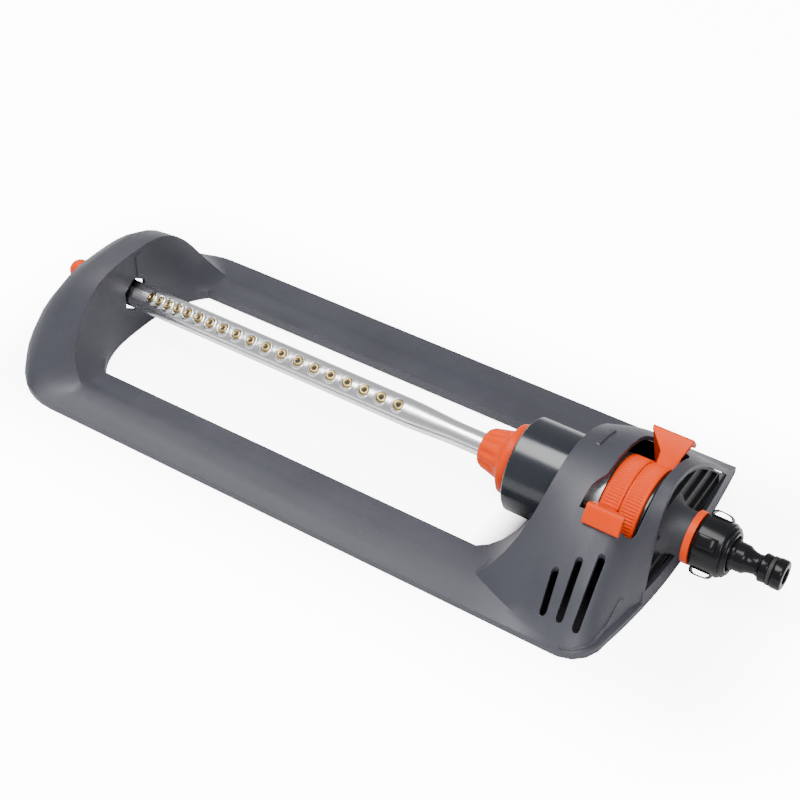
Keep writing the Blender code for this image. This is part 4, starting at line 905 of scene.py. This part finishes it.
def jet_place(name):
    """Where a nozzle's leaning axis comes through the tube's wall, found in three rounds."""
    points = [vertex.co for vertex in nodes[name].data.vertices]
    middle = sum(points, Vector()) / len(points)
    drop = (middle - Vector((0, 0, AXIS_Z))).dot(row_up) - tube_radius
    x = middle.x
    for _ in range(3):
        axis = row_turn @ fan(x, 3) @ Vector((0, 0, 1))
        x = middle.x - axis.x * drop / axis.dot(row_up)
    return x


def jet_turn(x):
    """The turn that lays a jet drawn about Z at its place on the tube, fanned out along the row."""
    base = Vector((x, 0, AXIS_Z)) + row_turn @ Vector((0, 0, tube_radius))
    return Matrix.Translation(base) @ Matrix.Rotation(ROW_TILT, 4, "X") @ fan(x, 4)


def turn_upright(outline, steps, matrix):
    """Turns a closed (height, radius) outline about Z and lays it with a matrix."""
    shape = bmesh.new()
    rings = []
    for step in range(steps):
        angle = math.tau * step / steps
        ring = []
        for height, radius in outline:
            point = Vector((radius * math.cos(angle), radius * math.sin(angle), height))
            ring.append(shape.verts.new(matrix @ point))
        rings.append(ring)
    wrap(shape, rings + rings[:1])
    return shape


for number in range(1, JET_COUNT + 1):
    name = f"nozzle_{number:02d}"
    lay = jet_turn(jet_place(name))
    made = turn_upright(jet, 24, lay)
    add_piece(f"jet_{number:02d}", made, brass, "tube_body", (name,))
    made = turn_upright(dimple, 32, lay)
    add_piece(f"jet_dimple_{number:02d}", made, tube_metal, "tube_body")
    made = turn_upright(throat, 12, lay)
    add_piece(f"jet_throat_{number:02d}", made, rubber, "tube_body")


# End plug. An orange ball-headed plug that closes the tube's far end, turns in the arch's bush
# and pulls out to flush the tube.
STEM_RADIUS = 5.6 * MM
STEM_GROOVE = 0.9 * MM
BALL_STEPS = 14
plug_low, plug_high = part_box("end_plug")
ball_radius = (plug_high.y - plug_low.y) / 2
ball_x = plug_low.x + ball_radius
outline = []
for step in range(BALL_STEPS + 1):
    angle = math.pi - (math.pi - math.asin(STEM_RADIUS / ball_radius)) * step / BALL_STEPS
    outline.append((ball_x + ball_radius * math.cos(angle), max(ball_radius * math.sin(angle), 0)))
outline[0] = (plug_low.x, 0)
seal_left, seal_right = (corner.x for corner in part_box("end_plug_seal"))
outline += [
    (seal_left - SEAL_ROOM, STEM_RADIUS),
    (seal_left - SEAL_ROOM, STEM_RADIUS - STEM_GROOVE),
    (seal_right + SEAL_ROOM, STEM_RADIUS - STEM_GROOVE),
    (seal_right + SEAL_ROOM, STEM_RADIUS),
    (plug_high.x - 0.9 * MM, STEM_RADIUS),
    (plug_high.x, STEM_RADIUS - 0.9 * MM),
    (plug_high.x, 0),
]
plug = turn_outline(outline, 48)
add_piece("plug_ball", plug, orange_plastic, "end_plug_body", ("end_plug",))


# Inlet ring. A plain ring moulded in the same orange, slipped onto the spigot before the nut, that
# marks the water inlet.
dress(orange_plastic, "inlet_ring")


# Coupling nut. Glossy black, with four strap-like grips standing off its side, a rounded shoulder
# and a stepped mouth; it turns freely on the spigot and clamps the nipple's flange.
BLACK_DEEP = (0.004, 0.004, 0.005)
BLACK_PALE = (0.007, 0.007, 0.008)
NUT_RADIUS = 15.7 * MM
NUT_MOUTH = 10.2 * MM
NUT_STEP = 1.3 * MM
NUT_EDGE = 0.35 * MM
SPIGOT_SEAT = 12.1 * MM
SHOULDER_ROOM = 3 * MM
GRIPS = 4
GRIP_RISE = 3.2 * MM
GRIP_WALL = 0.6 * MM
GRIP_HALF = 3.6 * MM
GRIP_CORNER = 0.8 * MM
GRIP_SINK = 0.6 * MM
GRIP_SLOPE = 3 * MM
GRIP_STARTS = 1 * MM
GRIP_STOPS = 1.2 * MM
black_plastic = moulded_plastic(
    "black_plastic", BLACK_DEEP, BLACK_PALE, 0.2, depth=0.012, edge=0.3, dusty=0.2, scuffed=0.2
)
black_plastic.node_tree.nodes["Principled BSDF"].inputs["Specular IOR Level"].default_value = 0.18
nut_left, nut_right = (corner.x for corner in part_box("coupling_nut"))
washer_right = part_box("inlet_washer")[1].x
shoulder = washer_right + SHOULDER_ROOM
outline = [
    (nut_left, SPIGOT_SEAT),
    (nut_left, NUT_RADIUS - 1.4 * MM),
    (nut_left + 0.4 * MM, NUT_RADIUS - 0.6 * MM),
    (nut_left + 1.6 * MM, NUT_RADIUS),
    (nut_right - 3.2 * NUT_STEP, NUT_RADIUS),
    (nut_right - 2.5 * NUT_STEP, NUT_RADIUS - 0.4 * NUT_STEP),
    (nut_right - 2.4 * NUT_STEP, NUT_RADIUS - 1.1 * NUT_STEP),
    (nut_right - 2.1 * NUT_STEP, NUT_RADIUS - 1.3 * NUT_STEP),
    (nut_right - 1.9 * NUT_STEP, NUT_RADIUS - NUT_STEP),
    (nut_right - NUT_STEP, NUT_RADIUS - 1.1 * NUT_STEP),
    (nut_right - 0.9 * NUT_STEP, NUT_RADIUS - 2.1 * NUT_STEP),
    (nut_right - 0.1 * NUT_STEP, NUT_RADIUS - 2.3 * NUT_STEP),
    (nut_right, NUT_RADIUS - 2.9 * NUT_STEP),
    (nut_right, NUT_MOUTH + 0.5 * MM),
    (nut_right - 0.6 * MM, NUT_MOUTH),
    (shoulder, NUT_MOUTH),
    (shoulder, SPIGOT_SEAT),
]
nut = turn_outline(round_corners(outline, NUT_EDGE), 96)
add_piece("nut_turned", nut, black_plastic, "nut_body", ("coupling_nut",))


def grip_shape(turn):
    """One strap: it rises from the nut's side, runs along it and drops back."""
    low = NUT_RADIUS - GRIP_SINK
    top = NUT_RADIUS + GRIP_RISE
    start = nut_left + GRIP_STARTS
    end = shoulder - GRIP_STOPS
    middle_x = (start + end) / 2
    path = (
        (start, low),
        (start + 0.3 * MM, top - 1.4 * MM),
        (start + 1.5 * MM, top - 0.2 * MM),
        (start + 3.4 * MM, top),
        (end - 3.4 * MM, top - 0.2 * MM),
        (end - 1.4 * MM, top - 0.8 * MM),
        (end - 0.2 * MM, top - 2 * MM),
        (end, low),
    )
    shape = bmesh.new()
    rings = []
    for x, radius in path:
        inward_x = x + GRIP_WALL * max(-1, min(1, (middle_x - x) / GRIP_SLOPE))
        inward_radius = radius - GRIP_WALL if radius > low else low
        ring = []
        for along, height, half in (
            (x, radius - 0.5 * MM, -GRIP_HALF),
            (x, radius, -GRIP_HALF + GRIP_CORNER),
            (x, radius, GRIP_HALF - GRIP_CORNER),
            (x, radius - 0.5 * MM, GRIP_HALF),
            (inward_x, inward_radius - 0.4 * MM, GRIP_HALF),
            (inward_x, inward_radius, GRIP_HALF - GRIP_CORNER),
            (inward_x, inward_radius, -GRIP_HALF + GRIP_CORNER),
            (inward_x, inward_radius - 0.4 * MM, -GRIP_HALF),
        ):
            spot = Matrix.Rotation(turn, 3, "X") @ Vector((along, half, height))
            ring.append(shape.verts.new(spot + Vector((0, 0, AXIS_Z))))
        rings.append(ring)
    wrap(shape, rings)
    shape.faces.new(rings[0])
    shape.faces.new(rings[-1])
    return shape


for number in range(GRIPS):
    grip = grip_shape(math.tau * (number + 0.5) / GRIPS)
    piece = add_piece(f"nut_grip_{number + 1}", grip, black_plastic, "nut_body", sharp=70)
    smooth = piece.modifiers.new("rounding", "SUBSURF")
    smooth.levels = 2
    smooth.render_levels = 2


# Hose nipple. Glossy black click-on nipple: a flange under the nut, a shank, a narrow waist and
# two collars with the sealing ring's groove between them.
BORE = 4.6 * MM
FLANGE_THICK = 2.4 * MM
SHANK = 8.9 * MM
SHANK_END = 26.8 * MM
WAIST = 5.9 * MM
COLLAR = 8.2 * MM
GROOVE = 6.65 * MM
TIP = 8.65 * MM
NIPPLE_EDGE = 0.6 * MM
nipple_low, nipple_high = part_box("hose_nipple")
nipple_radius = (nipple_high.y - nipple_low.y) / 2
nipple_right = nipple_high.x
nipple_left = washer_right + SEAL_ROOM
shank_right = nut_left + SHANK_END
seal_left, seal_right = (corner.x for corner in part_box("nipple_seal"))
outline = [
    (nipple_left, BORE),
    (nipple_left, nipple_radius),
    (nipple_left + FLANGE_THICK, nipple_radius),
    (nipple_left + FLANGE_THICK, SHANK),
    (nut_right + 1.6 * MM, SHANK),
    (nut_right + 2 * MM, SHANK - 0.7 * MM),
    (shank_right, SHANK - 0.8 * MM),
    (shank_right + 1 * MM, SHANK - 1.2 * MM),
    (shank_right + 2.4 * MM, SHANK - 2.1 * MM),
    (shank_right + 4.4 * MM, WAIST + 0.3 * MM),
    (shank_right + 7 * MM, WAIST),
    (shank_right + 8.8 * MM, WAIST + 0.5 * MM),
    (shank_right + 9.3 * MM, COLLAR - 1 * MM),
    (shank_right + 9.9 * MM, COLLAR),
    (seal_left - SEAL_ROOM, COLLAR - 0.4 * MM),
    (seal_left - SEAL_ROOM, GROOVE),
    (seal_right + SEAL_ROOM, GROOVE),
    (seal_right + SEAL_ROOM, TIP - 0.5 * MM),
    (seal_right + 1.2 * MM, TIP),
    (nipple_right - 1 * MM, TIP),
    (nipple_right, TIP - 0.8 * MM),
    (nipple_right, BORE),
]
nipple = turn_outline(round_corners(outline, NIPPLE_EDGE), 72)
add_piece("nipple_moulded", nipple, black_plastic, "frame_body", ("hose_nipple",), 50)
